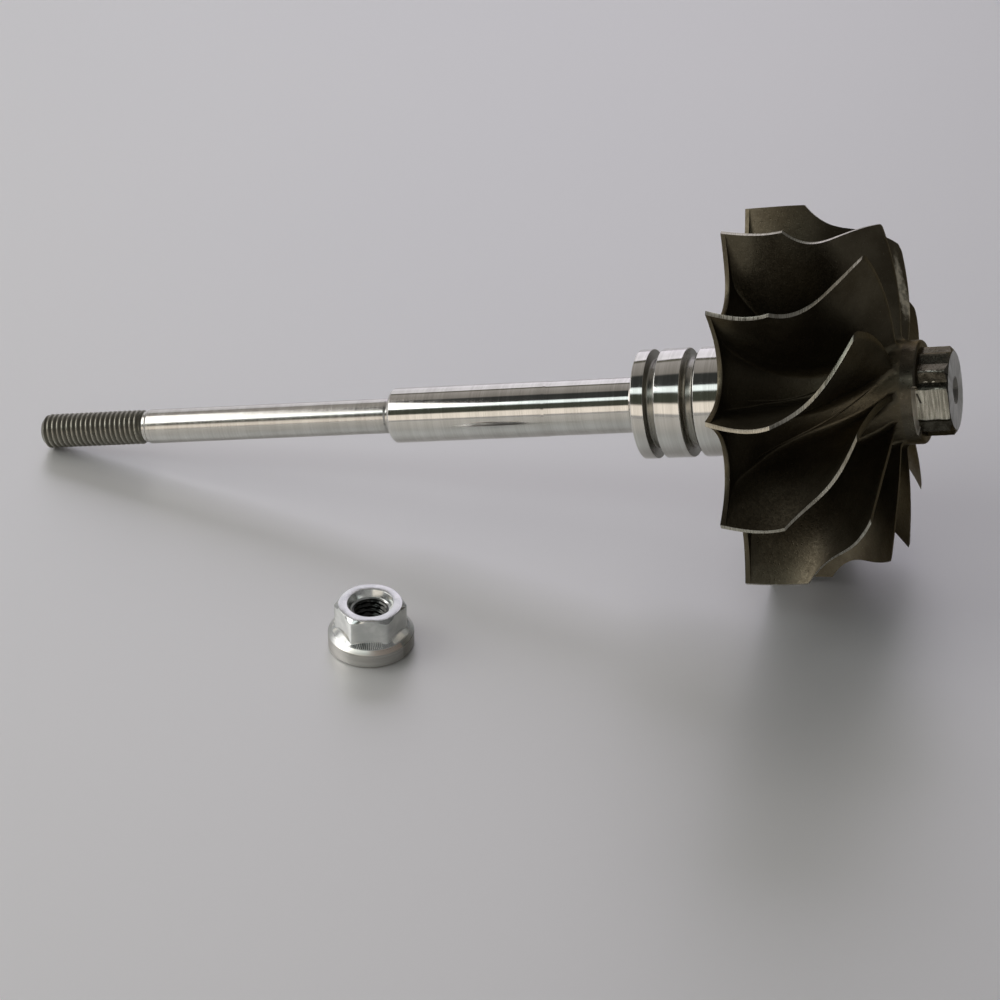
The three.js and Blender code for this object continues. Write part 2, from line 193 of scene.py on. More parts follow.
class Surface:
    """Collects grids of points and makes one mesh of them."""

    def __init__(self):
        self.points, self.faces, self.finishes = [], [], []

    def grid(self, points, finish=0, close=False):
        """A grid with rows and columns. close joins the last column to the first."""
        rows, columns = points.shape[:2]
        start = len(self.points)
        self.points.extend(points.reshape(-1, 3))
        for row in range(start, start + (rows - 1) * columns, columns):
            for column in range(columns if close else columns - 1):
                a, b = row + column, row + (column + 1) % columns
                self.faces.append((a, b, b + columns, a + columns))
                self.finishes.append(finish)

    def object(self, name, materials, sharp_angle=32, matrix=ROTOR):
        """One closed mesh: touching grids are joined, and its faces point outward."""
        mesh = bpy.data.meshes.new(name)
        mesh.from_pydata([tuple(point) for point in self.points], [], self.faces)
        for material in materials:
            mesh.materials.append(material)
        mesh.polygons.foreach_set("material_index", self.finishes)
        work = bmesh.new()
        work.from_mesh(mesh)
        bmesh.ops.remove_doubles(work, verts=work.verts, dist=1e-4)
        bmesh.ops.dissolve_degenerate(work, edges=work.edges, dist=1e-4)
        bmesh.ops.recalc_face_normals(work, faces=work.faces)
        work.to_mesh(mesh)
        work.free()
        mesh.transform(matrix @ Matrix.Scale(MM, 4))
        mesh.shade_smooth()
        mesh.set_sharp_from_angle(angle=math.radians(sharp_angle))
        return put(name, mesh)


def turned_piece(name, points, material, matrix=ROTOR):
    """A closed piece of one grid and one finish."""
    surface = Surface()
    surface.grid(points, close=True)
    return surface.object(name, [material], matrix=matrix)


def round_axis(station, radius, angle):
    """Points in the rotor frame from station, radius and angle in radians."""
    station, radius, angle = np.broadcast_arrays(station, radius, angle)
    return np.stack([station, radius * np.sin(angle), radius * np.cos(angle)], -1)


def to_polar(points):
    """Station, radius and angle of points in the rotor frame."""
    station, y, z = np.moveaxis(points, -1, 0)
    return station, np.hypot(y, z), np.arctan2(y, z)


def turned_about_axis(points, angle):
    """The points turned round the axis by an angle."""
    station, y, z = np.moveaxis(points, -1, 0)
    cos, sin = math.cos(angle), math.sin(angle)
    return np.stack([station, y * cos + z * sin, z * cos - y * sin], -1)


def conic(share, weight, start, corner, end):
    """A curve that leaves one line and joins another round their corner."""
    a, b, c = (1 - share) ** 2, 2 * weight * share * (1 - share), share ** 2
    return (a * start + b * corner + c * end) / (a + b + c)


def rounded(corners, steps=4):
    """An outline with its corners rounded. A corner is (x, y) or (x, y, radius)."""
    outline = []
    places = [np.array(corner[:2], float) for corner in corners]
    for index, corner in enumerate(corners):
        here = places[index]
        if len(corner) < 3:
            outline.append(here)
            continue
        before, after = places[index - 1] - here, places[index + 1] - here
        before_length, after_length = np.linalg.norm(before), np.linalg.norm(after)
        before, after = before / before_length, after / after_length
        half = math.acos(np.clip(before @ after, -1, 1)) / 2
        reach = min(corner[2] / math.tan(half), before_length * 0.49, after_length * 0.49)
        ends = here + before * reach, here + after * reach
        for step in range(steps + 1):
            outline.append(conic(step / steps, math.sin(half), ends[0], here, ends[1]))
    return np.array(outline)


def lathe(corners, segments=144, steps=4):
    """A turned surface from (station, radius, rounding) corners."""
    outline = rounded(corners, steps)
    angles = np.arange(segments) * 2 * math.pi / segments
    return round_axis(outline[:, :1], outline[:, 1:], angles[None, :])


def hexagon_radius(angle, across_flats, roll, corner_round):
    """Distance from the middle to a hexagon's side, with slightly rounded corners."""
    flat = across_flats / 2
    corner = flat / math.cos(math.pi / 6)
    turn = (angle - roll) % (math.pi / 3) - math.pi / 6
    straight = flat / np.cos(turn)
    limit = corner - corner_round
    softness = corner_round * 0.6
    return -softness * np.log(np.exp(-straight / softness) + np.exp(-limit / softness))


def corner_angles(sides, per_side):
    """Angles round a figure of straight sides, closer together at its corners."""
    share = np.arange(per_side) / per_side
    eased = share - np.sin(2 * math.pi * share) / (2 * math.pi) * 0.75
    return np.concatenate([(side + eased) * 2 * math.pi / sides for side in range(sides)])


# Wheel surfaces

def hub_radius(station):
    run = np.clip((HUB_FLARE_END - station) / (HUB_FLARE_END - RIM_THICKNESS), 0, 1)
    drop = (1 - run ** HUB_FLARE_POWER) ** (1 / HUB_FLARE_POWER)
    return WHEEL_RADIUS - (WHEEL_RADIUS - HUB_END_RADIUS) * drop


def hub_point(along):
    """Station and radius of the hub by the share along a channel, even on the flare."""
    share = 1 - np.cos(along * math.pi / 2) ** (2 / HUB_FLARE_POWER)
    station = RIM_THICKNESS + (OUTLET_ROOT_STATION - RIM_THICKNESS) * share
    radius = hub_radius(station)
    return thinned(station, radius), radius


def thinned(station, radius):
    """Takes the front of the back disc down to its thin edge."""
    inner, outer = THINNING_RADII
    share = np.clip((radius - inner) / (outer - inner), 0, 1)
    lower = station - EDGE_THINNING * share * share * (3 - 2 * share)
    softness = 0.12
    return EDGE_THICKNESS + softness * np.logaddexp(0, (lower - EDGE_THICKNESS) / softness)


def along_at_radius(radius):
    """The share along a channel at which the hub surface has this radius."""
    drop = (WHEEL_RADIUS - radius) / (WHEEL_RADIUS - HUB_END_RADIUS)
    run = (1 - drop ** HUB_FLARE_POWER) ** (1 / HUB_FLARE_POWER)
    station = HUB_FLARE_END - (HUB_FLARE_END - RIM_THICKNESS) * run
    share = (station - RIM_THICKNESS) / (OUTLET_ROOT_STATION - RIM_THICKNESS)
    return np.arccos((1 - share) ** (HUB_FLARE_POWER / 2)) * 2 / math.pi


def shroud_radius(station):
    run = np.clip((station - INLET_WIDTH) / SHROUD_DROP_LENGTH, 0, 1)
    return OUTLET_RADIUS + (WHEEL_RADIUS - OUTLET_RADIUS) * (1 - run) ** SHROUD_DROP_POWER


def outlet_station(radius):
    """The outlet edge bows back toward its tip."""
    bow = np.clip(radius - OUTLET_BOW_RADIUS, 0, None) / (OUTLET_RADIUS - OUTLET_BOW_RADIUS)
    return OUTLET_ROOT_STATION - (OUTLET_ROOT_STATION - OUTLET_TIP_STATION) * bow ** 2


def twist(station):
    share = station / WHEEL_RADIUS
    return np.radians(OUTLET_SWEEP * share ** SWEEP_POWER - LEAN_BACK * share)


def twist_rate(station):
    step = 0.01
    return (twist(station + step) - twist(station)) / step


def blade_point(along, across):
    """Station and radius in a blade's side view, blended from its four edges."""
    shroud = INLET_WIDTH + (OUTLET_TIP_STATION - INLET_WIDTH) * along
    inlet = EDGE_THICKNESS + (INLET_WIDTH - EDGE_THICKNESS) * across
    outlet = HUB_END_RADIUS + (OUTLET_RADIUS - HUB_END_RADIUS) * across
    edges = (
        hub_point(along),
        (shroud, shroud_radius(shroud)),
        (inlet, WHEEL_RADIUS),
        (outlet_station(outlet), outlet),
    )
    corners = (
        (EDGE_THICKNESS, WHEEL_RADIUS),
        (INLET_WIDTH, WHEEL_RADIUS),
        (OUTLET_ROOT_STATION, HUB_END_RADIUS),
        (OUTLET_TIP_STATION, OUTLET_RADIUS),
    )
    result = []
    for axis in (0, 1):
        low, high, start, end = (edge[axis] for edge in edges)
        a, b, c, d = (corner[axis] for corner in corners)
        ruled = (1 - across) * low + across * high + (1 - along) * start + along * end
        flat = (1 - along) * ((1 - across) * a + across * b)
        flat = flat + along * ((1 - across) * c + across * d)
        result.append(ruled - flat)
    return result


def blade_half_angle(along, across, station, radius):
    """Half of a blade's thickness as an angle round the axis."""
    swell = np.minimum(1, along * ROOT_SWELL_RATE + ROOT_SWELL_START)
    at_root = BLADE_ROOT_THICKNESS - BLADE_TIP_THICKNESS
    at_outlet = BLADE_OUTLET_THICKNESS - BLADE_TIP_THICKNESS
    root = BLADE_TIP_THICKNESS + at_root * np.sin(math.pi * swell)
    tip = BLADE_TIP_THICKNESS + at_outlet * along ** 2
    extra = np.maximum(root, tip) - tip
    thickness = tip + extra * (1 - across) ** ROOT_SWELL_POWER
    return thickness / 2 * np.hypot(1, radius * twist_rate(station)) / radius


def blade_side(along, across, side, roll):
    """A point on one side of a blade. side is 1 toward greater angles and -1 toward less."""
    station, radius = blade_point(along, across)
    half = blade_half_angle(along, across, station, radius)
    return round_axis(station, radius, roll + twist(station) + side * half)


def root_half_angle(along):
    return float(blade_half_angle(along, 0.0, *hub_point(along)))


RIM_HALF_ANGLE = root_half_angle(0.0)


def scallop_radius(across):
    """Radius of the back disc's edge by the share across a channel, cut in between blades."""
    span = PITCH - 2 * RIM_HALF_ANGLE
    offset = RIM_HALF_ANGLE + span * across - PITCH / 2
    half_width = WHEEL_RADIUS * math.sin(span / 2)
    rise = WHEEL_RADIUS * math.cos(span / 2) - SCALLOP_FLOOR_RADIUS
    low = np.full_like(offset, SCALLOP_FLOOR_RADIUS - 1)
    high = np.full_like(offset, float(WHEEL_RADIUS))
    for _ in range(40):
        middle = (low + high) / 2
        edge = np.abs(middle * np.sin(offset) / half_width) ** SCALLOP_POWER
        outside = middle * np.cos(offset) - SCALLOP_FLOOR_RADIUS - rise * edge > 0
        high = np.where(outside, middle, high)
        low = np.where(outside, low, middle)
    return high


def floor_point(along, across):
    """A point of the hub surface between two blades, from the scalloped edge to the outlet."""
    start = along_at_radius(scallop_radius(across))
    station, radius = hub_point(start + (1 - start) * along)
    half = root_half_angle(along)
    angle = half + (PITCH - 2 * half) * across + twist(station)
    return round_axis(station, radius, angle)


def fillet_radius(along):
    """Fillet between blade and hub: none at the rim, full in the channel, less at the outlet."""
    grow = 1 - (1 - min(1, along / 0.3)) ** 2
    fade = max(0, (along - 0.6) / 0.4) ** 2
    return grow * (ROOT_FILLET + (OUTLET_FILLET - ROOT_FILLET) * fade)


def share_at_length(points, shares, length):
    """The share at which a line of points has gone this far."""
    steps = np.linalg.norm(np.diff(points, axis=0), axis=1)
    return float(np.interp(length, np.concatenate([[0], np.cumsum(steps)]), shares))


CHANNEL_ROWS = 60
CHANNEL_ROW_EASE = 1.25
SIDE_COLUMNS = 24
FILLET_COLUMNS = 7
FLOOR_COLUMNS = 22


def corner_curve(start, corner, end):
    """A round blend between two surfaces that meet in a corner."""
    share = np.linspace(0, 1, FILLET_COLUMNS + 1)[:, None]
    return conic(share, math.sqrt(0.5), start, corner, end)


def outlet_flare(points, along):
    """The outlet edge runs out forward where it meets the hub."""
    if along < 1:
        return points
    station, radius, angle = to_polar(points)
    above = np.clip((radius - HUB_END_RADIUS) / OUTLET_FLARE, 0, 1)
    return round_axis(station + OUTLET_FLARE * (1 - np.sqrt(1 - (1 - above) ** 2)), radius, angle)


def side_top(along):
    """The share across a blade at which its side ends: the outlet tip is rounded off."""
    slope = OUTLET_RADIUS * twist_rate(OUTLET_TIP_STATION)
    reach = (1 - along) * (OUTLET_TIP_STATION - INLET_WIDTH) * math.hypot(1, slope)
    inward = max(0, OUTLET_TIP_ROUND - reach)
    drop = OUTLET_TIP_ROUND - math.sqrt(OUTLET_TIP_ROUND ** 2 - inward ** 2)
    return 1 - drop / (OUTLET_RADIUS - HUB_END_RADIUS)


def channel_row(along):
    """Down the side of one blade, across the hub and up the facing side of the next."""
    fillet = fillet_radius(along)
    shares = np.linspace(0, 0.5, 160)
    halves = []
    feet = []
    for side, roll, floor_shares in ((1, 0.0, shares), (-1, PITCH, 1 - shares)):
        wall = blade_side(along, shares, side, roll)
        wall_share = share_at_length(wall, shares, fillet)
        foot = share_at_length(floor_point(along, floor_shares), floor_shares, fillet)
        across = np.linspace(side_top(along), wall_share, SIDE_COLUMNS + 1)
        blade = blade_side(along, across, side, roll)
        corner = blade_side(along, 0.0, side, roll)
        toe = floor_point(along, np.array([foot]))[0]
        halves.append(np.concatenate([blade, corner_curve(blade[-1], corner, toe)[1:]]))
        feet.append(foot)
    even = np.linspace(0, 1, FLOOR_COLUMNS + 1)
    eased = even / 2 + (1 - np.cos(math.pi * even)) / 4
    across = feet[0] + (feet[1] - feet[0]) * eased
    floor = floor_point(along, across)[1:-1]
    row = np.concatenate([halves[0], floor, halves[1][::-1]])
    return outlet_flare(row, along), across


def capped(rows):
    """A tube of points with its two ends drawn together to their middles."""
    first, last = (end.mean(1, keepdims=True) + 0 * end for end in (rows[:1], rows[-1:]))
    return np.concatenate([first, rows, last])


def thickness_strip(lower, upper, bulge=None):
    """The narrow surface between a blade's two sides, along one of its edges."""
    a, b = to_polar(lower), to_polar(upper)
    share = np.linspace(0, 1, STRIP_COLUMNS + 1)[None, :]
    station, radius, angle = (p[:, None] + (q - p)[:, None] * share for p, q in zip(a, b))
    if bulge is not None:
        station = station + bulge[:, None] * np.sqrt(1 - (2 * share - 1) ** 2)
    return round_axis(station, radius, angle)


# Mould line in a channel: its angle from the blade in degrees, which grows toward the outlet
PARTING_STATIONS = (5.0, 33.0)
PARTING_ROWS = 64
PARTING_ANGLE = 7.5
PARTING_DRIFT = 25.5
PARTING_DRIFT_POWER = 1.7

CAST, MACHINED, WORN, BALANCED, BACK, SMOOTH = range(6)
WALL_STEPS = (0, 0.1, 0.3, 0.7, 0.9, 1)
WALL_BULGE = 0.16
OUTLET_BULGE = 0.1
STRIP_COLUMNS = 4


def wheel_sector(surface):
    """One blade with the channel after it. Returns what the hub's end ring joins on to."""
    shares = 1 - (1 - np.linspace(0, 1, CHANNEL_ROWS + 1)) ** CHANNEL_ROW_EASE
    rows = [channel_row(float(along)) for along in shares]
    channel = np.stack([row for row, _ in rows])
    foot = SIDE_COLUMNS + FILLET_COLUMNS
    before = turned_about_axis(channel, -PITCH)[:, ::-1]
    edge_across = rows[0][1]

    steps = np.array(WALL_STEPS)
    edge = channel[0, foot:foot + FLOOR_COLUMNS + 1]
    radius = scallop_radius(edge_across)
    span = PITCH - 2 * RIM_HALF_ANGLE
    angles = RIM_HALF_ANGLE + span * edge_across
    back_edge = round_axis(0.0, radius, angles)
    wall = edge[None] + (back_edge - edge)[None] * steps[:, None, None]
    bulge = WALL_BULGE * np.sqrt(np.sin(math.pi * steps))[:, None]
    bulge = bulge * np.sqrt(np.clip(np.sin(math.pi * edge_across), 0, 1))[None]
    station, wall_radius, angle = to_polar(wall)
    wall = round_axis(station, wall_radius + bulge, angle)

    inlet = thickness_strip(before[0, :foot + 1], channel[0, :foot + 1])
    tips = [round_axis(0.0, float(WHEEL_RADIUS), side * RIM_HALF_ANGLE) for side in (-1, 1)]
    ends = [before[0, foot], channel[0, foot]]
    cusp_sides = [end + (tip - end) * steps[:, None] for end, tip in zip(ends, tips)]
    cusp = thickness_strip(*cusp_sides)
    shroud = thickness_strip(before[:, 0], channel[:, 0])
    ease = np.sin(math.pi * np.linspace(0, 1, foot + 1)) ** 0.3
    outlet = thickness_strip(before[-1, :foot + 1], channel[-1, :foot + 1], OUTLET_BULGE * ease)

    inner = COLLAR_DIAMETER / 2 + BOSS_FILLET
    back_rim = np.concatenate([cusp[-1, :-1], back_edge])
    _, rim_radius, rim_angle = to_polar(back_rim)
    inward = np.linspace(0, 1, 11)[:, None]
    back_radius = rim_radius + (inner - rim_radius) * inward
    back = round_axis(0.0, back_radius, rim_angle[None])
    centre = round_axis(0.0, np.stack([np.full_like(rim_angle, inner), 0 * rim_angle]), rim_angle)

    rounding = CHANNEL_ROWS - 2
    parts = (
        (channel, CAST), (wall[1:-1], CAST), (wall[:2], WORN), (wall[-2:], WORN),
        (inlet, MACHINED), (cusp, MACHINED), (shroud[:rounding + 1], MACHINED),
        (shroud[rounding:], WORN), (outlet, CAST), (back, BACK), (centre, BACK),
    )
    for index in range(BLADE_COUNT):
        for points, finish in parts:
            surface.grid(turned_about_axis(points, index * PITCH), finish)
    hub_floor = channel[-1, foot:foot + FLOOR_COLUMNS + 1]
    return np.concatenate([outlet[-1, :-1], hub_floor[:-1]])


def hub_end(surface, sector_edge):
    """The plain end of the hub with its rounded lip and the balance cut in its end face."""
    edges = [turned_about_axis(sector_edge, index * PITCH) for index in range(BLADE_COUNT)]
    loop = np.concatenate(edges)
    _, _, angle = to_polar(loop)
    face = HUB_END_STATION
    outline = rounded([
        (float(loop[:, 0].max()), HUB_END_RADIUS),
        (face - HUB_LIP - 0.9, HUB_END_RADIUS),
        (face, HUB_END_RADIUS, HUB_LIP),
        (face, HUB_END_RADIUS - 1.9),
        (face, NOSE_ACROSS_FLATS / 2 - 1.2),
    ], 6)[1:]
    degrees = np.degrees(angle)
    inside = np.clip(np.minimum(degrees - BALANCE_CUT[0], BALANCE_CUT[1] - degrees), 0, 1)
    rows = [loop]
    for station, radius in outline:
        deeper = 1 + BALANCE_CUT_SLOPE * (radius - NOSE_ACROSS_FLATS / 2)
        ground = face - BALANCE_CUT_DEPTH * deeper * inside
        rows.append(round_axis(np.minimum(station, ground), radius, angle))
    rows.append(round_axis(face - BALANCE_CUT_DEPTH * inside, 0.0, angle))
    ring = np.stack(rows)
    end_row = 3
    surface.grid(ring[:end_row + 1], SMOOTH, close=True)
    start = len(surface.finishes)
    surface.grid(ring[end_row:], SMOOTH, close=True)
    columns = len(angle)
    for face_index in range(start, len(surface.finishes)):
        if inside[(face_index - start) % columns] > 0.5:
            surface.finishes[face_index] = BALANCED


def parting_lines(surface):
    """The fine raised line that the casting mould leaves in each channel."""
    stations = np.linspace(*PARTING_STATIONS, PARTING_ROWS)
    share = np.clip(stations / WHEEL_RADIUS - 0.25, 0, None) / 0.55
    offset = np.radians(PARTING_ANGLE + PARTING_DRIFT * share ** PARTING_DRIFT_POWER)
    half_width, height, sunk = 0.3, 0.11, 0.5
    radius = hub_radius(stations)
    stations = thinned(stations, radius)
    swell = np.sin(math.pi * np.linspace(0.02, 0.98, len(stations))) ** 0.3
    sides = []
    for width, rise in ((-half_width, -0.05), (0, height), (half_width, -0.05), (0, -sunk)):
        angle = offset + twist(stations) + width / radius
        sides.append(round_axis(stations + rise * 0.5, radius + rise * swell, angle))
    ridge = capped(np.stack(sides, 1))
    for index in range(BLADE_COUNT):
        surface.grid(turned_about_axis(ridge, index * PITCH), WORN, close=True)


def soften(made, amount, scale):
    """Slight unevenness of a cast surface, never outside its own outline."""
    mesh = made.data
    count = len(mesh.vertices)
    points = np.empty(count * 3, np.float32)
    normals = np.empty(count * 3, np.float32)
    mesh.vertices.foreach_get("co", points)
    mesh.vertices.foreach_get("normal", normals)
    points, normals = points.reshape(-1, 3), normals.reshape(-1, 3)
    lift = np.array([noise.noise(Vector(point) * scale) for point in points.astype(float)])
    moved = points + normals * ((lift - 1) * amount * MM)[:, None]
    mesh.vertices.foreach_set("co", moved.astype(np.float32).ravel())
    mesh.update()


def make_wheel(materials):
    surface = Surface()
    hub_end(surface, wheel_sector(surface))
    parting_lines(surface)
    wheel = surface.object("wheel_casting", materials, sharp_angle=38)
    soften(wheel, amount=0.07, scale=160)
    return wheel


def make_nose(materials):
    """Twelve-point nose with one point ground away, a chamfered end and a drilled centre."""
    roll, turned = math.radians(NOSE_ROLL), math.radians(NOSE_ROLL + 30)
    angles = roll + corner_angles(24, 10)
    hexagons = [hexagon_radius(angles, NOSE_ACROSS_FLATS, start, 0.1) for start in (roll, turned)]
    from_flat = np.cos(angles - math.radians(NOSE_GROUND_FLAT))
    ground = NOSE_ACROSS_FLATS / 2 / np.maximum(from_flat, 0.5)
    across = np.minimum(np.maximum(*hexagons), ground)
    drill, pilot = CENTRE_DRILL_DIAMETER / 2, CENTRE_PILOT_DIAMETER / 2
    base = HUB_END_STATION - 1.0
    columns = []
    for side in across:
        face = min(NOSE_FACE_RADIUS, side - 0.15)
        columns.append(rounded([
            (base, 0),
            (base, side),
            (NOSE_END_STATION - (side - face) * NOSE_CHAMFER_SLOPE, side, 0.25),
            (NOSE_END_STATION, face, 0.1),
            (NOSE_END_STATION, drill, 0.12),
            (NOSE_END_STATION - (drill - pilot), pilot, 0.1),
            (NOSE_END_STATION - CENTRE_DRILL_DEPTH + pilot, pilot),
            (NOSE_END_STATION - CENTRE_DRILL_DEPTH, 0),
        ], 5))
    outline = np.stack(columns, 1)
    surface = Surface()
    long_steps = np.linspace(0, 1, 13)[:, None, None]
    side_rows = outline[1] + (outline[2] - outline[1]) * long_steps
    rows = np.concatenate([outline[:1], side_rows, outline[3:]])
    points = round_axis(rows[..., 0], rows[..., 1], angles[None])
    face_start = 1 + len(long_steps) + 5
    surface.grid(points[:face_start + 1], 0, close=True)
    drill_start = face_start + 3
    surface.grid(points[face_start:drill_start + 1], 1, close=True)
    surface.grid(points[drill_start:], 2, close=True)
    nose = surface.object("nose_twelve_point", materials, sharp_angle=24)
    soften(nose, amount=0.07, scale=700)
    return nose


# Shaft pieces

def make_boss(material):
    radius = COLLAR_DIAMETER / 2
    fillet_outer = radius + BOSS_FILLET
    return turned_piece("weld_boss_turned", lathe([
        (-BOSS_LENGTH, 0),
        (-BOSS_LENGTH, radius - 0.3),
        (-BOSS_LENGTH + 0.3, radius, 0.2),
        (-BOSS_FILLET - 0.6, radius),
        (-0.02, radius, BOSS_FILLET),
        (-0.02, fillet_outer + 0.6),
        (0.25, fillet_outer),
        (0.25, 0),
    ], steps=10), material)


def make_collar(materials):
    """Collar with two ring grooves. The inner one is wider and has a rounded floor."""
    radius = COLLAR_DIAMETER / 2
    floor = RING_GROOVE_DIAMETER / 2
    points = lathe([
        (COLLAR_END, 0),
        (COLLAR_END, JOURNAL_DIAMETER / 2 + 0.2),
        (COLLAR_END, radius - 0.2, 0.08),
        (COLLAR_END + 0.2, radius, 0.1),
        (OUTER_GROOVE[0], radius, 0.1),
        (OUTER_GROOVE[0] + 0.1, floor, 0.4),
        (OUTER_GROOVE[1] - 0.1, floor, 0.4),
        (OUTER_GROOVE[1], radius, 0.22),
        (INNER_GROOVE[0], radius, 0.22),
        (INNER_GROOVE[0] + 0.2, floor, 1.0),
        (INNER_GROOVE[1] - 0.1, floor, 0.8),
        (INNER_GROOVE[1], radius - 0.3, 0.1),
        (INNER_GROOVE[1] + 0.3, radius - 0.3, 0.1),
        (INNER_GROOVE[1] + 0.3, 0),
    ], 160, steps=6)
    surface = Surface()
    land = points[:, 0, 2]
    for row in range(len(points) - 1):
        below = land[row:row + 2].min() < radius - 0.28 and points[row, 0, 0] > COLLAR_END + 0.2
        surface.grid(points[row:row + 2], int(below), close=True)
    return surface.object("seal_collar_ground", materials)


def make_journal(material):
    """Ground journal in two lands, with a fine step between them."""
    radius = JOURNAL_DIAMETER / 2
    step = 0.06
    return turned_piece("journal_ground", lathe([
        (JOURNAL_END, 0),
        (JOURNAL_END, STUB_DIAMETER / 2 + 0.1),
        (JOURNAL_END, radius - EDGE_CHAMFER, 0.08),
        (JOURNAL_END + EDGE_CHAMFER * 1.2, radius, 0.15),
        (JOURNAL_SPLIT - 0.6, radius, 0.3),
        (JOURNAL_SPLIT, radius - step, 0.3),
        (COLLAR_END - 2.0, radius - step, 0.3),
        (COLLAR_END - 1.5, radius - 0.35, 0.25),
        (COLLAR_END - 0.3, radius - 0.35, 0.3),
        (COLLAR_END, radius + 0.05),
        (COLLAR_END + 0.4, radius + 0.05),
        (COLLAR_END + 0.4, 0),
    ], 128, 5), material)


def make_stub(material):
    """Thinner end of the shaft, with a small relief where the thread begins."""
    radius = STUB_DIAMETER / 2
    relief = radius - 0.35
    return turned_piece("compressor_stub_turned", lathe([
        (THREAD_START - 0.2, 0),
        (THREAD_START - 0.2, relief - 0.3, 0.1),
        (THREAD_START + 0.15, relief, 0.2),
        (THREAD_START + 0.8, relief, 0.4),
        (THREAD_START + 1.3, radius, 0.3),
        (JOURNAL_END - 1.6, radius, 0.3),
        (JOURNAL_END - 1.1, radius - 0.2, 0.2),
        (JOURNAL_END - 0.3, radius - 0.2, 0.3),
        (JOURNAL_END, radius + 0.05),
        (JOURNAL_END + 0.4, radius + 0.05),
        (JOURNAL_END + 0.4, 0),
    ], 112, 5), material)


def thread_profile(phase):
    """Depth of a V thread with flattened crest and root, 0 at the crest and 1 at the root."""
    wave = np.abs(2 * (phase - np.floor(phase)) - 1)
    return np.clip((wave - 0.3) / 0.6, 0, 1)


def make_thread(material):
    """Right-hand thread: the rows of points follow the helix."""
    crest = STUB_DIAMETER / 2
    per_pitch = 10
    segments = 72
    turns = math.ceil((THREAD_START - SHAFT_END) / THREAD_PITCH) + 1
    angles = np.arange(segments + 1) / segments * 2 * math.pi
    rows = np.arange(turns * per_pitch + 1)[:, None] / per_pitch
    helix = SHAFT_END + THREAD_PITCH * (rows - angles[None] / (2 * math.pi))
    ends = (SHAFT_END + 0.01, THREAD_START)
    station = np.clip(helix, *ends)
    phase = (station - SHAFT_END) / THREAD_PITCH + angles[None] / (2 * math.pi)
    radius = crest - THREAD_RELIEF * thread_profile(phase)
    end_cone = crest - THREAD_CHAMFER + (station - SHAFT_END)
    start_cone = crest - 0.55 + (THREAD_START - station) * 0.8
    radius = np.minimum(radius, np.minimum(end_cone, start_cone))
    body = round_axis(station, radius, angles[None])
    first, last = (round_axis(end, 0.0, angles[None]) for end in ends)
    surface = Surface()
    surface.grid(np.concatenate([first, body, last]))
    return surface.object("shaft_thread", [material], sharp_angle=40)


# Nut

def upright(points):
    """Turns points from the rotor's way of counting, with the axis along +X, to +Z."""
    return np.stack([-points[..., 2], points[..., 1], points[..., 0]], -1)


def make_nut_hexagon(materials):
    """Hexagon with chamfered top, countersunk and threaded bore, and cone over its flange."""
    angles = corner_angles(6, 30)
    across = hexagon_radius(angles, NUT_ACROSS_FLATS, 0.0, 0.2)
    ring = NUT_ACROSS_FLATS / 2 - 0.06
    skirt = NUT_FLANGE_DIAMETER / 2 - NUT_FLANGE_BEVEL
    base = NUT_FLANGE_HEIGHT - 0.5
    bore = NUT_BORE_DIAMETER / 2
    sink = NUT_COUNTERSINK / 2
    sink_floor = NUT_HEIGHT - NUT_COUNTERSINK_DEPTH
    inner = np.linspace(sink_floor, base, int((sink_floor - base) / THREAD_PITCH * 12))
    columns = []
    for angle, radius in zip(angles, across):
        drop = NUT_CHAMFER + NUT_CHAMFER_SLOPE * (radius - NUT_ACROSS_FLATS / 2)
        meet = NUT_FLANGE_HEIGHT + 0.1 + (skirt - radius) * NUT_CONE_SLOPE
        outside = rounded([
            (base, 0.5 * (bore + skirt)),
            (base, skirt),
            (NUT_FLANGE_HEIGHT + 0.1, skirt, 0.1),
            (meet, radius, 0.3),
            (NUT_HEIGHT - drop, radius, 0.2),
            (NUT_HEIGHT, ring, 0.12),
            (NUT_HEIGHT, sink, 0.14),
            (sink_floor + 0.2, sink - 0.6, 0.2),
            (sink_floor, bore + NUT_THREAD_DEPTH),
        ], 4)
        phase = inner / THREAD_PITCH + angle / (2 * math.pi)
        groove = bore + NUT_THREAD_DEPTH * (1 - thread_profile(phase))
        lead_in = bore + (inner - inner[-1]) * 0.9 + 0.05
        top_limit = bore + 0.15 + (inner[0] - inner) * 0.9
        threaded = np.stack([inner, np.minimum(groove, np.minimum(lead_in, top_limit))], -1)
        columns.append(np.concatenate([outside, threaded, outside[:1]]))
    outline = np.stack(columns, 1)
    points = upright(round_axis(outline[..., 0], outline[..., 1], angles[None]))
    surface = Surface()
    outside_rows = len(columns[0]) - len(inner) - 1
    surface.grid(points[:outside_rows], 0, close=True)
    surface.grid(points[outside_rows - 1:], 1, close=True)
    return surface.object("nut_hexagon", materials, sharp_angle=24, matrix=NUT)


def make_nut_flange(material):
    """Round flange with a bevelled upper edge, turned on its side."""
    radius = NUT_FLANGE_DIAMETER / 2
    edge = radius - NUT_FLANGE_BEVEL
    bore = NUT_BORE_DIAMETER / 2 + 0.3
    return turned_piece("nut_flange_turned", upright(lathe([
        (NUT_FLANGE_HEIGHT - 0.2, bore),
        (0.4, bore, 0.1),
        (0, bore + 0.4, 0.1),
        (0, radius - 0.4, 0.1),
        (0.35, radius, 0.2),
        (NUT_FLANGE_HEIGHT - NUT_FLANGE_BEVEL, radius, 0.2),
        (NUT_FLANGE_HEIGHT, edge, 0.15),
        (NUT_FLANGE_HEIGHT, edge - 0.4, 0.1),
        (NUT_FLANGE_HEIGHT - 0.2, edge - 0.5),
        (NUT_FLANGE_HEIGHT - 0.2, bore),
    ], steps=5)), material, NUT)


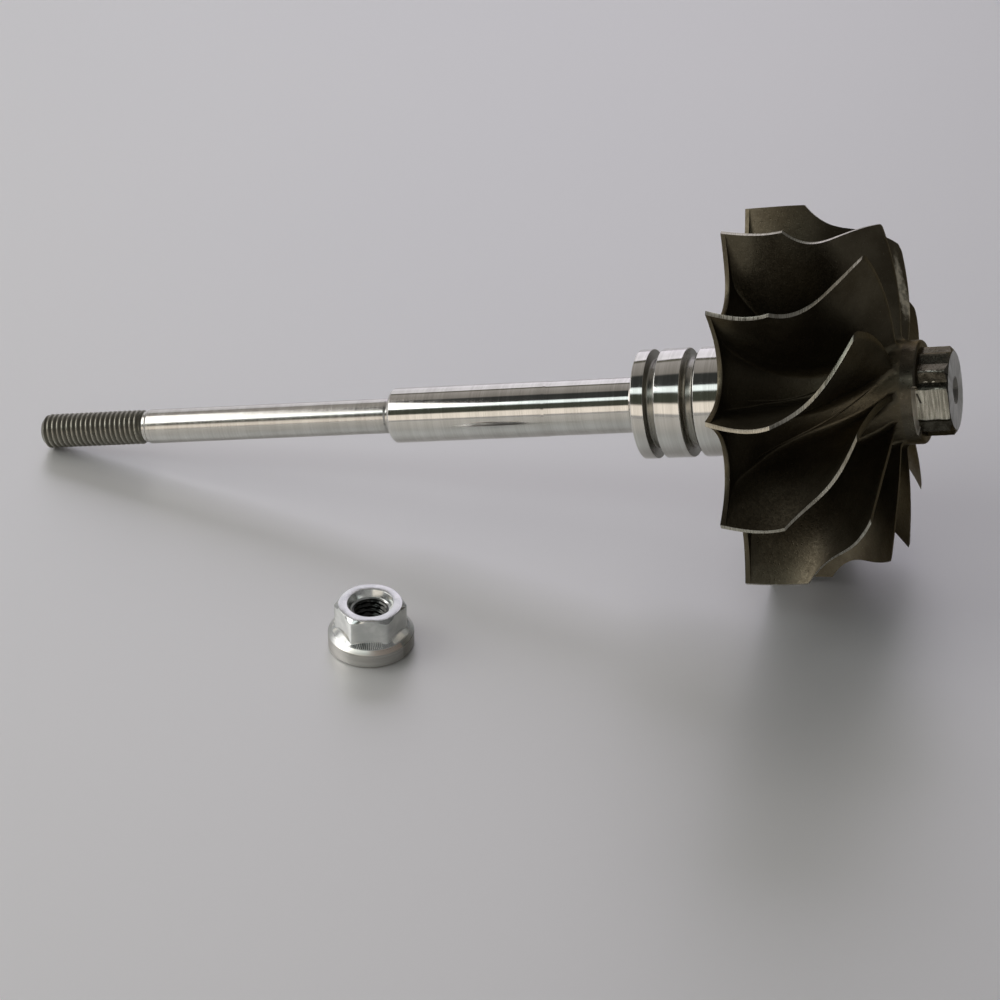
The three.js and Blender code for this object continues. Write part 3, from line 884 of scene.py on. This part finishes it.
def make_serrations(materials):
    """Small teeth on the cone under each side of the hexagon, tallest and rubbed in front."""
    surface = Surface()
    skirt = NUT_FLANGE_DIAMETER / 2 - NUT_FLANGE_BEVEL
    for side in range(6):
        front = int(side == NUT_FRONT_SIDE)
        tall, half = FRONT_TEETH if front else OTHER_TEETH
        for tooth in range(TEETH):
            turn = ((tooth + 0.5) / TEETH * 2 - 1) * TEETH_SPREAD
            angle = (side + 0.5) * math.pi / 3 + turn
            flat = NUT_ACROSS_FLATS / 2 / math.cos(turn)
            ridge = (
                (skirt - 0.05, -0.25), (skirt - 0.2, tall * 0.8), (flat + 0.12, tall), (flat - 0.2, -0.3))
            rows = []
            for radius, lift in ridge:
                station = NUT_FLANGE_HEIGHT + 0.1 + (skirt - radius) * NUT_CONE_SLOPE
                section = ((-half, -0.15), (0, lift), (half, -0.15), (0, -0.4))
                rows.append([round_axis(station + rise, radius + rise * 0.6, angle + width / radius)
                             for width, rise in section])
            surface.grid(capped(upright(np.array(rows))), front, close=True)
    return surface.object("nut_serrations", materials, matrix=NUT)


# Materials

class Tree:
    """Short ways to write a node tree."""

    def __init__(self, tree):
        self.tree = tree

    def node(self, kind, **settings):
        made = self.tree.nodes.new("ShaderNode" + kind)
        for key, value in settings.items():
            setattr(made, key, value)
        return made

    def wire(self, source, target):
        """Links a socket to another one, or sets a plain value on it."""
        if isinstance(source, bpy.types.NodeSocket):
            self.tree.links.new(source, target)
        else:
            target.default_value = source

    def sockets(self, node, **inputs):
        for key, value in inputs.items():
            self.wire(value, node.inputs[key.replace("_", " ")])

    def split(self, vector):
        """The x, y and z of a vector."""
        made = self.node("SeparateXYZ")
        self.wire(vector, made.inputs[0])
        return made.outputs

    def math(self, operation, first, second=0.0):
        made = self.node("Math", operation=operation)
        self.wire(first, made.inputs[0])
        self.wire(second, made.inputs[1])
        return made.outputs[0]

    def plus(self, first, second):
        return self.math("ADD", first, second)

    def minus(self, first, second):
        return self.math("SUBTRACT", first, second)

    def times(self, first, second):
        return self.math("MULTIPLY", first, second)

    def gap(self, first, second):
        """How far apart two values are."""
        return self.math("ABSOLUTE", self.minus(first, second))

    def ramp(self, value, low, high, start=0.0, end=1.0, curve="SMOOTHSTEP"):
        made = self.node("MapRange", interpolation_type=curve)
        self.sockets(made, Value=value, From_Min=low, From_Max=high, To_Min=start, To_Max=end)
        return made.outputs[0]

    def band(self, value, ragged, opens, closes):
        """1 between two places along a value, with ragged ends."""
        after = self.ramp(self.plus(value, ragged), *opens)
        return self.times(after, self.ramp(self.minus(value, ragged), *closes, 1.0, 0.0))

    def mix(self, share, first, second):
        """A colour between two colours."""
        made = self.node("Mix", data_type="RGBA")
        self.wire(share, made.inputs[0])
        for socket, colour in ((made.inputs[6], first), (made.inputs[7], second)):
            self.wire((*colour, 1) if isinstance(colour, tuple) else colour, socket)
        return made.outputs[2]

    def tones(self, value, stops):
        """Colours at their positions along a value from 0 to 1."""
        made = self.node("ValToRGB")
        elements = made.color_ramp.elements
        elements.remove(elements[-1])
        for index, (position, colour) in enumerate(stops):
            stop = elements.new(position) if index else elements[0]
            stop.position = position
            stop.color = (*colour, 1)
        self.wire(value, made.inputs[0])
        return made.outputs[0]


class Paint(Tree):
    """A material whose patterns count in metres in the rotor's or the nut's own frame."""

    def __init__(self, name, colour, roughness, metallic=1.0, matrix=ROTOR):
        self.material = bpy.data.materials.new(name)
        self.material.use_nodes = True
        super().__init__(self.material.node_tree)
        self.shader = self.tree.nodes["Principled BSDF"]
        self.sockets(self.shader, Base_Color=(*colour, 1), Roughness=roughness, Metallic=metallic)
        mapping = self.node("Mapping", vector_type="TEXTURE")
        here = self.node("TexCoord").outputs["Object"]
        self.sockets(mapping, Vector=here, Location=matrix.to_translation(), Rotation=matrix.to_euler())
        self.place = mapping.outputs[0]

    def finish(self, colour, normal, gloss=None):
        """Wires the shader and gives the finished material."""
        self.sockets(self.shader, Base_Color=colour, Normal=normal)
        if gloss:
            self.sockets(self.shader, Roughness=gloss)
        return self.material

    def noise(self, scale, detail=3, rough=0.55, vector=None):
        made = self.node("TexNoise")
        self.sockets(made, Vector=vector or self.place, Scale=scale, Detail=detail, Roughness=rough)
        return made.outputs["Fac"]

    def streaks(self, scale, detail=3, rough=0.6):
        """Noise stretched along the axes."""
        mapping = self.node("Mapping")
        self.sockets(mapping, Vector=self.place, Scale=scale)
        return self.noise(1, detail, rough, mapping.outputs[0])

    def rings(self, scale, distortion):
        """Turning lines round the rotor's axis."""
        made = self.node("TexWave", wave_type="RINGS", rings_direction="X")
        self.sockets(made, Vector=self.place, Scale=scale, Distortion=distortion, Detail=2.0)
        return made.outputs["Fac"]

    def bump(self, height, distance, strength=1.0, before=None):
        """Raises the surface by a height in millimetres, after an earlier bump."""
        made = self.node("Bump")
        self.sockets(made, Height=height, Distance=distance * MM, Strength=strength)
        if before is not None:
            self.wire(before, made.inputs["Normal"])
        return made.outputs["Normal"]

    def polar(self):
        """Station and distance from the rotor's axis in millimetres, and angle in degrees."""
        x, y, z = self.split(self.place)
        radius = self.math("SQRT", self.plus(self.times(y, y), self.times(z, z)))
        angle = self.times(self.math("ARCTAN2", y, z), 180 / math.pi)
        return self.times(x, 1 / MM), self.times(radius, 1 / MM), angle


CAST_COLOURS = ((0.084, 0.07, 0.047), (0.13, 0.112, 0.078), (0.26, 0.235, 0.18))
CAST_EDGE_TINT = (0.5, 0.44, 0.34)
# Near black of the cast pits and the nick, also used for painted shade on the nose's chamfer
PIT_AND_SHADE_COLOUR = (0.02, 0.017, 0.013)
GROUND_COLOUR = (0.62, 0.59, 0.51)


def cast_grain(paint, colours, roughness, depth=1.0):
    """Colour, roughness and bump of cast grain, pits and blotches."""
    grain, speck = paint.noise(1300, 3, 0.6), paint.noise(3600, 2, 0.6)
    pits = paint.node("TexVoronoi")
    paint.sockets(pits, Vector=paint.place, Scale=900)
    pits = pits.outputs["Distance"]
    colour = paint.mix(paint.ramp(paint.noise(70, 4, 0.6), 0.36, 0.66), colours[0], colours[1])
    colour = paint.mix(paint.ramp(speck, 0.62, 0.8), colour, colours[2])
    colour = paint.mix(paint.ramp(pits, 0.02, 0.16, 0.5, 0.0), colour, PIT_AND_SHADE_COLOUR)
    rough = paint.bump(grain, 0.12 * depth, 0.5)
    rough = paint.bump(speck, 0.04 * depth, 0.5, rough)
    rough = paint.bump(paint.ramp(pits, 0.0, 0.2), 0.07 * depth, 0.6, rough)
    paint.sockets(paint.shader, Specular_Tint=(*CAST_EDGE_TINT, 1))
    return colour, rough, paint.ramp(grain, 0.3, 0.7, *roughness)


def ground_streaks(paint, scale, low, high):
    """Fine grinding lines and their colour."""
    lines = paint.streaks(scale)
    return lines, paint.mix(paint.ramp(lines, 0.35, 0.7), low, high)


# Ground patch on one blade: where it opens and closes round the axis in degrees and outward in
# millimetres, and the line that it follows, where station + slope x radius is constant
PATCH_OPENS = (57, 60)
PATCH_CLOSES = (66, 69)
PATCH_RADII = (21, 24)
PATCH_SLOPE = 0.27
PATCH_LINE = 39.45


def cast_alloy():
    """Dark cast alloy, with a ragged ground patch on the outlet edge of one blade."""
    paint = Paint("cast_alloy", CAST_COLOURS[0], 0.4, 0.9)
    colour, rough, gloss = cast_grain(paint, CAST_COLOURS, (0.34, 0.48))
    station, radius, angle = paint.polar()
    ragged = paint.times(paint.noise(900, 4, 0.7), 5.0)
    patch = paint.band(angle, ragged, PATCH_OPENS, PATCH_CLOSES)
    patch = paint.times(patch, paint.ramp(paint.plus(radius, ragged), *PATCH_RADII))
    slant = paint.plus(station, paint.times(radius, PATCH_SLOPE))
    slant = paint.plus(slant, paint.times(ragged, 0.3))
    patch = paint.times(patch, paint.ramp(paint.gap(slant, PATCH_LINE), 0.5, 1.3, 1.0, 0.0))
    patch = paint.times(patch, paint.ramp(paint.noise(700, 3), 0.36, 0.6, 0.45, 1.0))
    return paint.finish(paint.mix(patch, colour, (0.8, 0.73, 0.58)), rough, gloss)


def smooth_cast():
    """Plain end of the hub: cast like the rest, rubbed smoother and greyer."""
    paint = Paint("smooth_cast", CAST_COLOURS[0], 0.3, 0.9)
    colours = ((0.075, 0.064, 0.047), (0.115, 0.102, 0.078), (0.18, 0.165, 0.13))
    return paint.finish(*cast_grain(paint, colours, (0.26, 0.36), 0.35))


def machined_edge():
    """Bright turned surface of the blade tips, with fine lines round the axis."""
    paint = Paint("machined_edge", GROUND_COLOUR, 0.34)
    lines, colour = ground_streaks(paint, (5200, 260, 260), (0.36, 0.335, 0.28), (0.64, 0.61, 0.53))
    stain = paint.ramp(paint.noise(90, 3), 0.42, 0.66, 0.0, 0.65)
    colour = paint.mix(stain, colour, (0.24, 0.215, 0.165))
    return paint.finish(colour, paint.bump(lines, 0.02, 0.5), paint.ramp(lines, 0.3, 0.7, 0.24, 0.38))


def worn_edge():
    """Cast edge, nearly as dark as the rest, with a few small bright nicks, which also serve as painted
    glints.
    """
    paint = Paint("worn_edge", CAST_COLOURS[1], 0.4, 0.9)
    colours = (*CAST_COLOURS[:2], (0.3, 0.28, 0.22))
    colour, rough, _ = cast_grain(paint, colours, (0.36, 0.5))
    nicks_and_glints = paint.ramp(paint.noise(420, 2, 0.5), 0.7, 0.76)
    colour = paint.mix(nicks_and_glints, colour, (0.7, 0.67, 0.6))
    return paint.finish(colour, rough, paint.ramp(nicks_and_glints, 0.0, 1.0, 0.44, 0.22))


def balance_ground():
    """Freshly ground alloy of the balance cut, with coarse scratches round the axis."""
    paint = Paint("balance_ground", GROUND_COLOUR, 0.36)
    lines, colour = ground_streaks(paint, (2600, 150, 150), (0.66, 0.6, 0.52), (0.98, 0.92, 0.83))
    return paint.finish(colour, paint.bump(lines, 0.06, 0.7), paint.ramp(lines, 0.3, 0.7, 0.4, 0.6))


def back_face():
    """Back of the wheel: cast, then faced in a lathe."""
    paint = Paint("wheel_back", CAST_COLOURS[1], 0.42, 0.9)
    colours = ((0.09, 0.078, 0.056), (0.15, 0.132, 0.098), (0.28, 0.26, 0.21))
    colour, rough, gloss = cast_grain(paint, colours, (0.32, 0.46))
    return paint.finish(colour, paint.bump(paint.rings(320.0, 0.6), 0.03, 0.7, rough), gloss)


# Ground flat of the nose, where it opens and closes in degrees, and the nick across it
FLAT_OPENS = (-98.5, -97)
FLAT_CLOSES = (-60.5, -59)
NICK_ANGLE = -68.5
NICK_STATION = 38.7
NICK_SLANT = 0.05

# Rubbed spots on the nose, painted near white as glints: angle, half width in degrees, first and last
# station
NOSE_GLINTS = ((-31.5, 1.5, 38.9, 42.0), (-45.5, 1.0, 39.6, 41.6))


def nose_alloy():
    """Rough cast points, with one flat ground bright over part of its width."""
    paint = Paint("nose_alloy", CAST_COLOURS[0], 0.36, 0.9)
    colours = ((0.075, 0.068, 0.055), (0.14, 0.13, 0.108), (0.34, 0.325, 0.28))
    colour, rough, gloss = cast_grain(paint, colours, (0.17, 0.3))
    station, _, angle = paint.polar()
    ragged = paint.times(paint.noise(620, 3, 0.6), 7.0)
    patch = paint.band(angle, ragged, FLAT_OPENS, FLAT_CLOSES)
    lines, bright = ground_streaks(paint, (2300, 130, 130), (0.27, 0.255, 0.21), (0.66, 0.63, 0.55))

    # A short dark nick across the ground flat, and painted shade: a dark line on the chamfer at its end
    slant = paint.times(paint.minus(angle, NICK_ANGLE), NICK_SLANT)
    across = paint.ramp(paint.gap(paint.plus(station, slant), NICK_STATION), 0.15, 0.3, 0.9, 0.0)
    nick = paint.times(across, paint.ramp(paint.gap(angle, NICK_ANGLE), 6.5, 8.0, 1.0, 0.0))
    bright = paint.mix(nick, bright, PIT_AND_SHADE_COLOUR)
    # Painted shade on the chamfer where the ground flat meets the end face
    end = paint.ramp(station, NOSE_END_STATION - 0.26, NOSE_END_STATION - 0.16)
    bright = paint.mix(end, bright, PIT_AND_SHADE_COLOUR)

    # Painted shade darkens the flank below the upper crest, with painted glints on the rubbed spots along
    # it
    below_crest = paint.ramp(angle, -35.5, -33.5, 1.0, 0.0)
    flank_shade = paint.times(below_crest, paint.ramp(paint.noise(500, 3), 0.35, 0.6, 0.95, 0.6))
    colour = paint.mix(flank_shade, colour, (0.03, 0.027, 0.02))
    # Painted glints: near-white spots, partly rubbed metal, along the crests
    glint = paint.ramp(paint.noise(1500, 2), 0.42, 0.6)
    for middle, half, start, stop in NOSE_GLINTS:
        along = paint.band(station, 0.0, (start, start + 0.6), (stop, stop + 1.5))
        share = paint.times(paint.ramp(paint.gap(angle, middle), half * 0.4, half, 1.0, 0.0), along)
        colour = paint.mix(paint.times(share, glint), colour, (1.0, 0.97, 0.88))
    normal = paint.node("Mix", data_type="VECTOR")
    for index, source in ((0, patch), (4, rough), (5, paint.bump(lines, 0.07, 0.7))):
        paint.wire(source, normal.inputs[index])
    return paint.finish(paint.mix(patch, colour, bright), normal.outputs[1], gloss)


def faced_alloy():
    """End face of the nose: satin, with turning lines round the drilled centre."""
    paint = Paint("faced_alloy", (0.42, 0.4, 0.37), 0.36)
    wear = paint.noise(260, 4, 0.6)
    colour = paint.mix(paint.ramp(wear, 0.35, 0.7), (0.36, 0.345, 0.32), (0.5, 0.48, 0.45))
    normal = paint.bump(paint.rings(900.0, 0.8), 0.015, 0.6)
    return paint.finish(colour, normal, paint.ramp(wear, 0.3, 0.7, 0.3, 0.42))


def drilled_alloy_painted_shade():
    """Walls of the drilled centre: smooth, darkened as painted shade, with fine drilling lines."""
    paint = Paint("drilled_alloy_painted_shade", (0.26, 0.245, 0.22), 0.16)
    lines, colour = ground_streaks(paint, (5200, 200, 200), (0.2, 0.19, 0.17), (0.32, 0.3, 0.27))
    return paint.finish(colour, paint.bump(lines, 0.01, 0.5))


def bright_steel(name, low, high, roughness, scale, depth):
    """Ground or turned steel with fine lines round the axis."""
    paint = Paint(name, high, roughness[0])
    lines = paint.streaks((scale, 40, 40), 4, 0.65)
    broad = paint.streaks((scale / 12, 14, 14), 2, 0.5)
    colour = paint.mix(paint.ramp(paint.plus(lines, broad), 0.75, 1.25), low, high)
    handled = paint.ramp(paint.noise(120, 4, 0.6), 0.5, 0.75, 0.0, 0.04)
    gloss = paint.plus(paint.ramp(lines, 0.3, 0.7, *roughness), handled)
    return paint.finish(colour, paint.bump(lines, depth, 0.5), gloss)


def thread_steel():
    """Dull thread, a little darker toward the roots as painted shade and lighter on the crests."""
    paint = Paint("thread_steel", (0.22, 0.205, 0.17), 0.4, 0.95)
    _, radius, _ = paint.polar()
    # Painted shade: darker toward the thread's roots
    depth = paint.ramp(radius, STUB_DIAMETER / 2 - THREAD_RELIEF, STUB_DIAMETER / 2)
    colour = paint.mix(depth, (0.2, 0.19, 0.155), (0.3, 0.285, 0.24))
    stain = paint.noise(700, 3, 0.6)
    colour = paint.mix(paint.ramp(stain, 0.5, 0.75, 0.0, 0.5), colour, (0.16, 0.145, 0.115))
    normal = paint.bump(paint.noise(4200, 2), 0.02, 0.6)
    return paint.finish(colour, normal, paint.ramp(stain, 0.3, 0.7, 0.26, 0.38))


def zinc_plate(name, low, high, roughness, metallic=1.0):
    """Zinc plate with a fine grain and slight clouding; bright, except where given near-black colours as
    painted shade.
    """
    paint = Paint(name, high, roughness[0], metallic, NUT)
    cloud = paint.noise(340, 4, 0.6)
    colour = paint.mix(paint.ramp(cloud, 0.35, 0.7), low, high)
    normal = paint.bump(paint.noise(5200, 2, 0.5), 0.012, 0.6)
    normal = paint.bump(paint.noise(900, 3), 0.03, 0.35, normal)
    return paint.finish(colour, normal, paint.ramp(cloud, 0.3, 0.7, *roughness))


# Angles round the nut in degrees over which its flange turns to painted shade, its bevel bare and painted
# bright as a highlight, and coppery
FLANGE_SHADED = (49, 51)
FLANGE_BARE_AND_HIGHLIT = (-56, -42)
FLANGE_COPPERY = (-6, 14)


def turned_flange():
    """Grey turned flange, darker on one side as painted shade. Its bevel is bare, painted bright as a
    highlight, and coppery only over part of the way round.
    """
    paint = Paint("flange_steel", (0.5, 0.48, 0.45), 0.32, matrix=NUT)
    lines = paint.streaks((60, 60, 4200), 4)
    colour = paint.mix(paint.ramp(lines, 0.3, 0.7), (0.42, 0.405, 0.38), (0.54, 0.525, 0.5))
    x, y, z = paint.split(paint.place)
    turn = paint.times(paint.math("ARCTAN2", x, paint.times(y, -1.0)), 180 / math.pi)
    # Painted shade on one side of the flange
    shaded = paint.ramp(turn, *FLANGE_SHADED)
    colour = paint.mix(shaded, colour, (0.34, 0.325, 0.3))
    # The bevel's bright front: partly bare, coppery metal and partly painted highlight
    spotted = paint.plus(turn, paint.times(paint.noise(300, 3), 8.0))
    worn = paint.times(paint.ramp(spotted, *FLANGE_BARE_AND_HIGHLIT), paint.minus(1.0, shaded))
    copper = paint.mix(paint.ramp(turn, *FLANGE_COPPERY), (0.88, 0.84, 0.78), (0.98, 0.84, 0.73))
    top = paint.mix(worn, (0.62, 0.625, 0.61), copper)
    edge = NUT_FLANGE_HEIGHT - NUT_FLANGE_BEVEL
    bevel = paint.ramp(z, (edge - 0.05) * MM, (edge + 0.1) * MM)
    normal = paint.bump(lines, 0.015, 0.4)
    return paint.finish(
        paint.mix(bevel, colour, top), normal, paint.ramp(lines, 0.3, 0.7, 0.26, 0.36))


# Floor, surroundings, light and camera

def make_floor():
    """Wide pale floor, satin enough to mirror the far side of the room softly."""
    mesh = bpy.data.meshes.new("floor")
    reach = 6.0
    corners = [(x, y, 0) for x, y in ((-reach, -reach), (reach, -reach), (reach, reach), (-reach, reach))]
    mesh.from_pydata(corners, [], [(0, 1, 2, 3)])
    paint = Paint("pale_floor", (0.89, 0.89, 0.895), 0.48, 0.62, Matrix())
    tone = paint.mix(paint.ramp(paint.noise(3, 2), 0.3, 0.7), (0.88, 0.88, 0.887), (0.9, 0.897, 0.895))
    mesh.materials.append(paint.finish(tone, paint.bump(paint.noise(900, 3), 0.02, 0.2)))
    floor = put("floor", mesh)


# Panels as seen round the shaft, each from one elevation to another with its colour. Elevations
# are in degrees, from the camera's side of the horizon over the top to the far side.
PANELS = (
    (-180, -180, (0.30, 0.30, 0.30)),
    (0, 4, (0.4, 0.395, 0.38)),
    (6, 25, (1.05, 0.97, 0.86)),
    (29, 50, (0.06, 0.065, 0.05)),
    (52.5, 63, (1.25, 1.38, 1.38)),
    (66, 92, (0.04, 0.042, 0.04)),
    (96, 96, (0.26, 0.245, 0.225)),
    (130, 130, (0.40, 0.38, 0.36)),
    (133, 138, (0.12, 0.115, 0.09)),
    (140.5, 180, (0.95, 0.90, 1.02)),
)

# The room beside the panels, its near and its far wall, from the left (low x) to the right.
# The walls begin at an angle in radians, counted like the elevations above.
ROOM = ((0.0, (0.34, 0.34, 0.35)), (0.35, (0.2, 0.2, 0.2)), (1.0, (0.10, 0.10, 0.10)))
NEAR_WALL = ((0.0, (0.4, 0.4, 0.4)), (0.6, (0.38, 0.38, 0.37)), (1.0, (0.18, 0.18, 0.18)))
FAR_WALL = (
    (0.0, (0.3, 0.3, 0.3)), (0.2, (0.6, 0.6, 0.6)), (0.33, (0.98, 0.96, 1.03)),
    (0.43, (1.03, 0.98, 1.12)), (0.5, (0.64, 0.62, 0.67)), (0.6, (0.22, 0.22, 0.22)),
    (1.0, (0.1, 0.1, 0.1)),
)
NEAR_WALL_END = (0.9, 0.55)
FAR_WALL_START = (2.2, 2.5)
FAR_WALL_BEHIND_PANELS = (2.43, 2.455)
FAR_WALL_LIFT = (2.42, 2.65, 1.2, 1.0)
PANEL_MIDDLE = -0.32
PANEL_REACH = (0.32, 0.46)


def make_world():
    """Panels over the rotor, seen before a darker room with a pale far wall."""
    world = bpy.data.worlds.new("studio")
    bpy.context.scene.world = world
    world.use_nodes = True
    sky = Tree(world.node_tree)
    x, y, z = sky.split(sky.node("TexCoord").outputs["Generated"])
    angle = sky.math("ARCTAN2", z, sky.times(y, -1.0))
    turn = sky.ramp(angle, -math.pi, math.pi, curve="LINEAR")
    across = sky.ramp(x, -1.0, 1.0, curve="LINEAR")
    ends = [(end, colour) for *ends, colour in PANELS for end in sorted(set(ends))]
    panels = sky.tones(turn, [((end + 180) / 360, colour) for end, colour in ends])
    room, near_wall, far_wall = (sky.tones(across, stops) for stops in (ROOM, NEAR_WALL, FAR_WALL))
    sides = sky.mix(sky.ramp(angle, *NEAR_WALL_END), room, near_wall)
    beside = sky.ramp(sky.gap(x, PANEL_MIDDLE), *PANEL_REACH)
    wall = sky.times(sky.ramp(angle, *FAR_WALL_START), beside)
    wall = sky.math("MAXIMUM", wall, sky.ramp(angle, *FAR_WALL_BEHIND_PANELS))
    lifted = sky.node("VectorMath", operation="SCALE")
    sky.wire(far_wall, lifted.inputs[0])
    sky.sockets(lifted, Scale=sky.ramp(angle, *FAR_WALL_LIFT, "LINEAR"))
    shown = sky.mix(wall, sky.mix(beside, panels, sides), lifted.outputs[0])
    sky.sockets(sky.tree.nodes["Background"], Color=shown)


def make_softbox():
    """One large soft light, from the left and above."""
    data = bpy.data.lights.new("left_softbox", "AREA")
    data.shape = "RECTANGLE"
    data.size, data.size_y = 0.9, 0.7
    data.energy = 4.6
    data.color = (1.0, 0.985, 0.96)
    light = put("left_softbox", data)
    light.location = (-0.9, -0.18, 0.7)
    light.rotation_euler = (-light.location).to_track_quat("-Z", "Y").to_euler()


def make_camera():
    """The photograph's viewing angle."""
    azimuth, elevation = math.radians(14.375), math.radians(34.538)
    distance = 0.7483
    aim = Vector((0.003105, 0.015783, 0))
    back = Vector((
        math.sin(azimuth) * math.cos(elevation),
        -math.cos(azimuth) * math.cos(elevation),
        math.sin(elevation),
    ))
    data = bpy.data.cameras.new("camera")
    data.lens = 116.11
    data.sensor_width = 36
    data.clip_start, data.clip_end = 0.01, 50
    camera = put("camera", data)
    camera.location = aim + back * distance
    camera.rotation_euler = (-back).to_track_quat("-Z", "Y").to_euler()
    bpy.context.scene.camera = camera


# Assembly

def dress(piece, slot, *nodes):
    """A finished piece rides with the rotor's body and stands for its plain solids."""
    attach(piece, "root")
    if nodes:
        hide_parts(*nodes)


blades = [f"blade_{index + 1:02d}" for index in range(BLADE_COUNT)]
wheel_finish = [
    cast_alloy(), machined_edge(), worn_edge(), balance_ground(), back_face(), smooth_cast(),
]
nose_finish = [nose_alloy(), faced_alloy(), drilled_alloy_painted_shade()]
ground = bright_steel("ground_steel", (0.62, 0.6, 0.57), (0.74, 0.72, 0.69), (0.06, 0.1), 3200, 0.003)
groove = bright_steel("groove_steel", (0.24, 0.23, 0.2), (0.36, 0.345, 0.31), (0.24, 0.34), 2600, 0.01)
turned = bright_steel("turned_steel", (0.56, 0.54, 0.51), (0.68, 0.66, 0.63), (0.16, 0.24), 2600, 0.008)
zinc = zinc_plate("zinc_steel", (0.6, 0.61, 0.6), (0.76, 0.765, 0.75), (0.12, 0.18), 0.85)
# The nut's threaded bore: zinc darkened to near black as painted shade inside the bore
zinc_thread_painted_shade = zinc_plate("zinc_thread_painted_shade", (0.035, 0.035, 0.033), (0.09, 0.09, 0.084), (0.12, 0.2))
zinc_teeth = zinc_plate("zinc_teeth", (0.5, 0.5, 0.48), (0.86, 0.86, 0.84), (0.28, 0.4), 0.6)

dress(make_wheel(wheel_finish), "cast_alloy", "hub", *blades)
dress(make_nose(nose_finish), "cast_alloy", "nose_12_point")
dress(make_boss(ground), "turned_steel", "weld_boss")
dress(make_collar([ground, groove]), "ground_steel", "seal_collar")
dress(make_journal(ground), "ground_steel", "inner_journal", "outer_journal")
dress(make_stub(turned), "turned_steel", "compressor_stub")
dress(make_thread(thread_steel()), "thread_steel", "threaded_end")
dress(make_nut_hexagon([zinc, zinc_thread_painted_shade]), "zinc_steel", "nut_hex")
dress(make_nut_flange(turned_flange()), "flange_steel", "nut_flange")
dress(make_serrations([zinc, zinc_teeth]), "zinc_steel")

make_floor()
make_world()
make_softbox()
make_camera()
bpy.context.scene.view_settings.view_transform = "Standard"
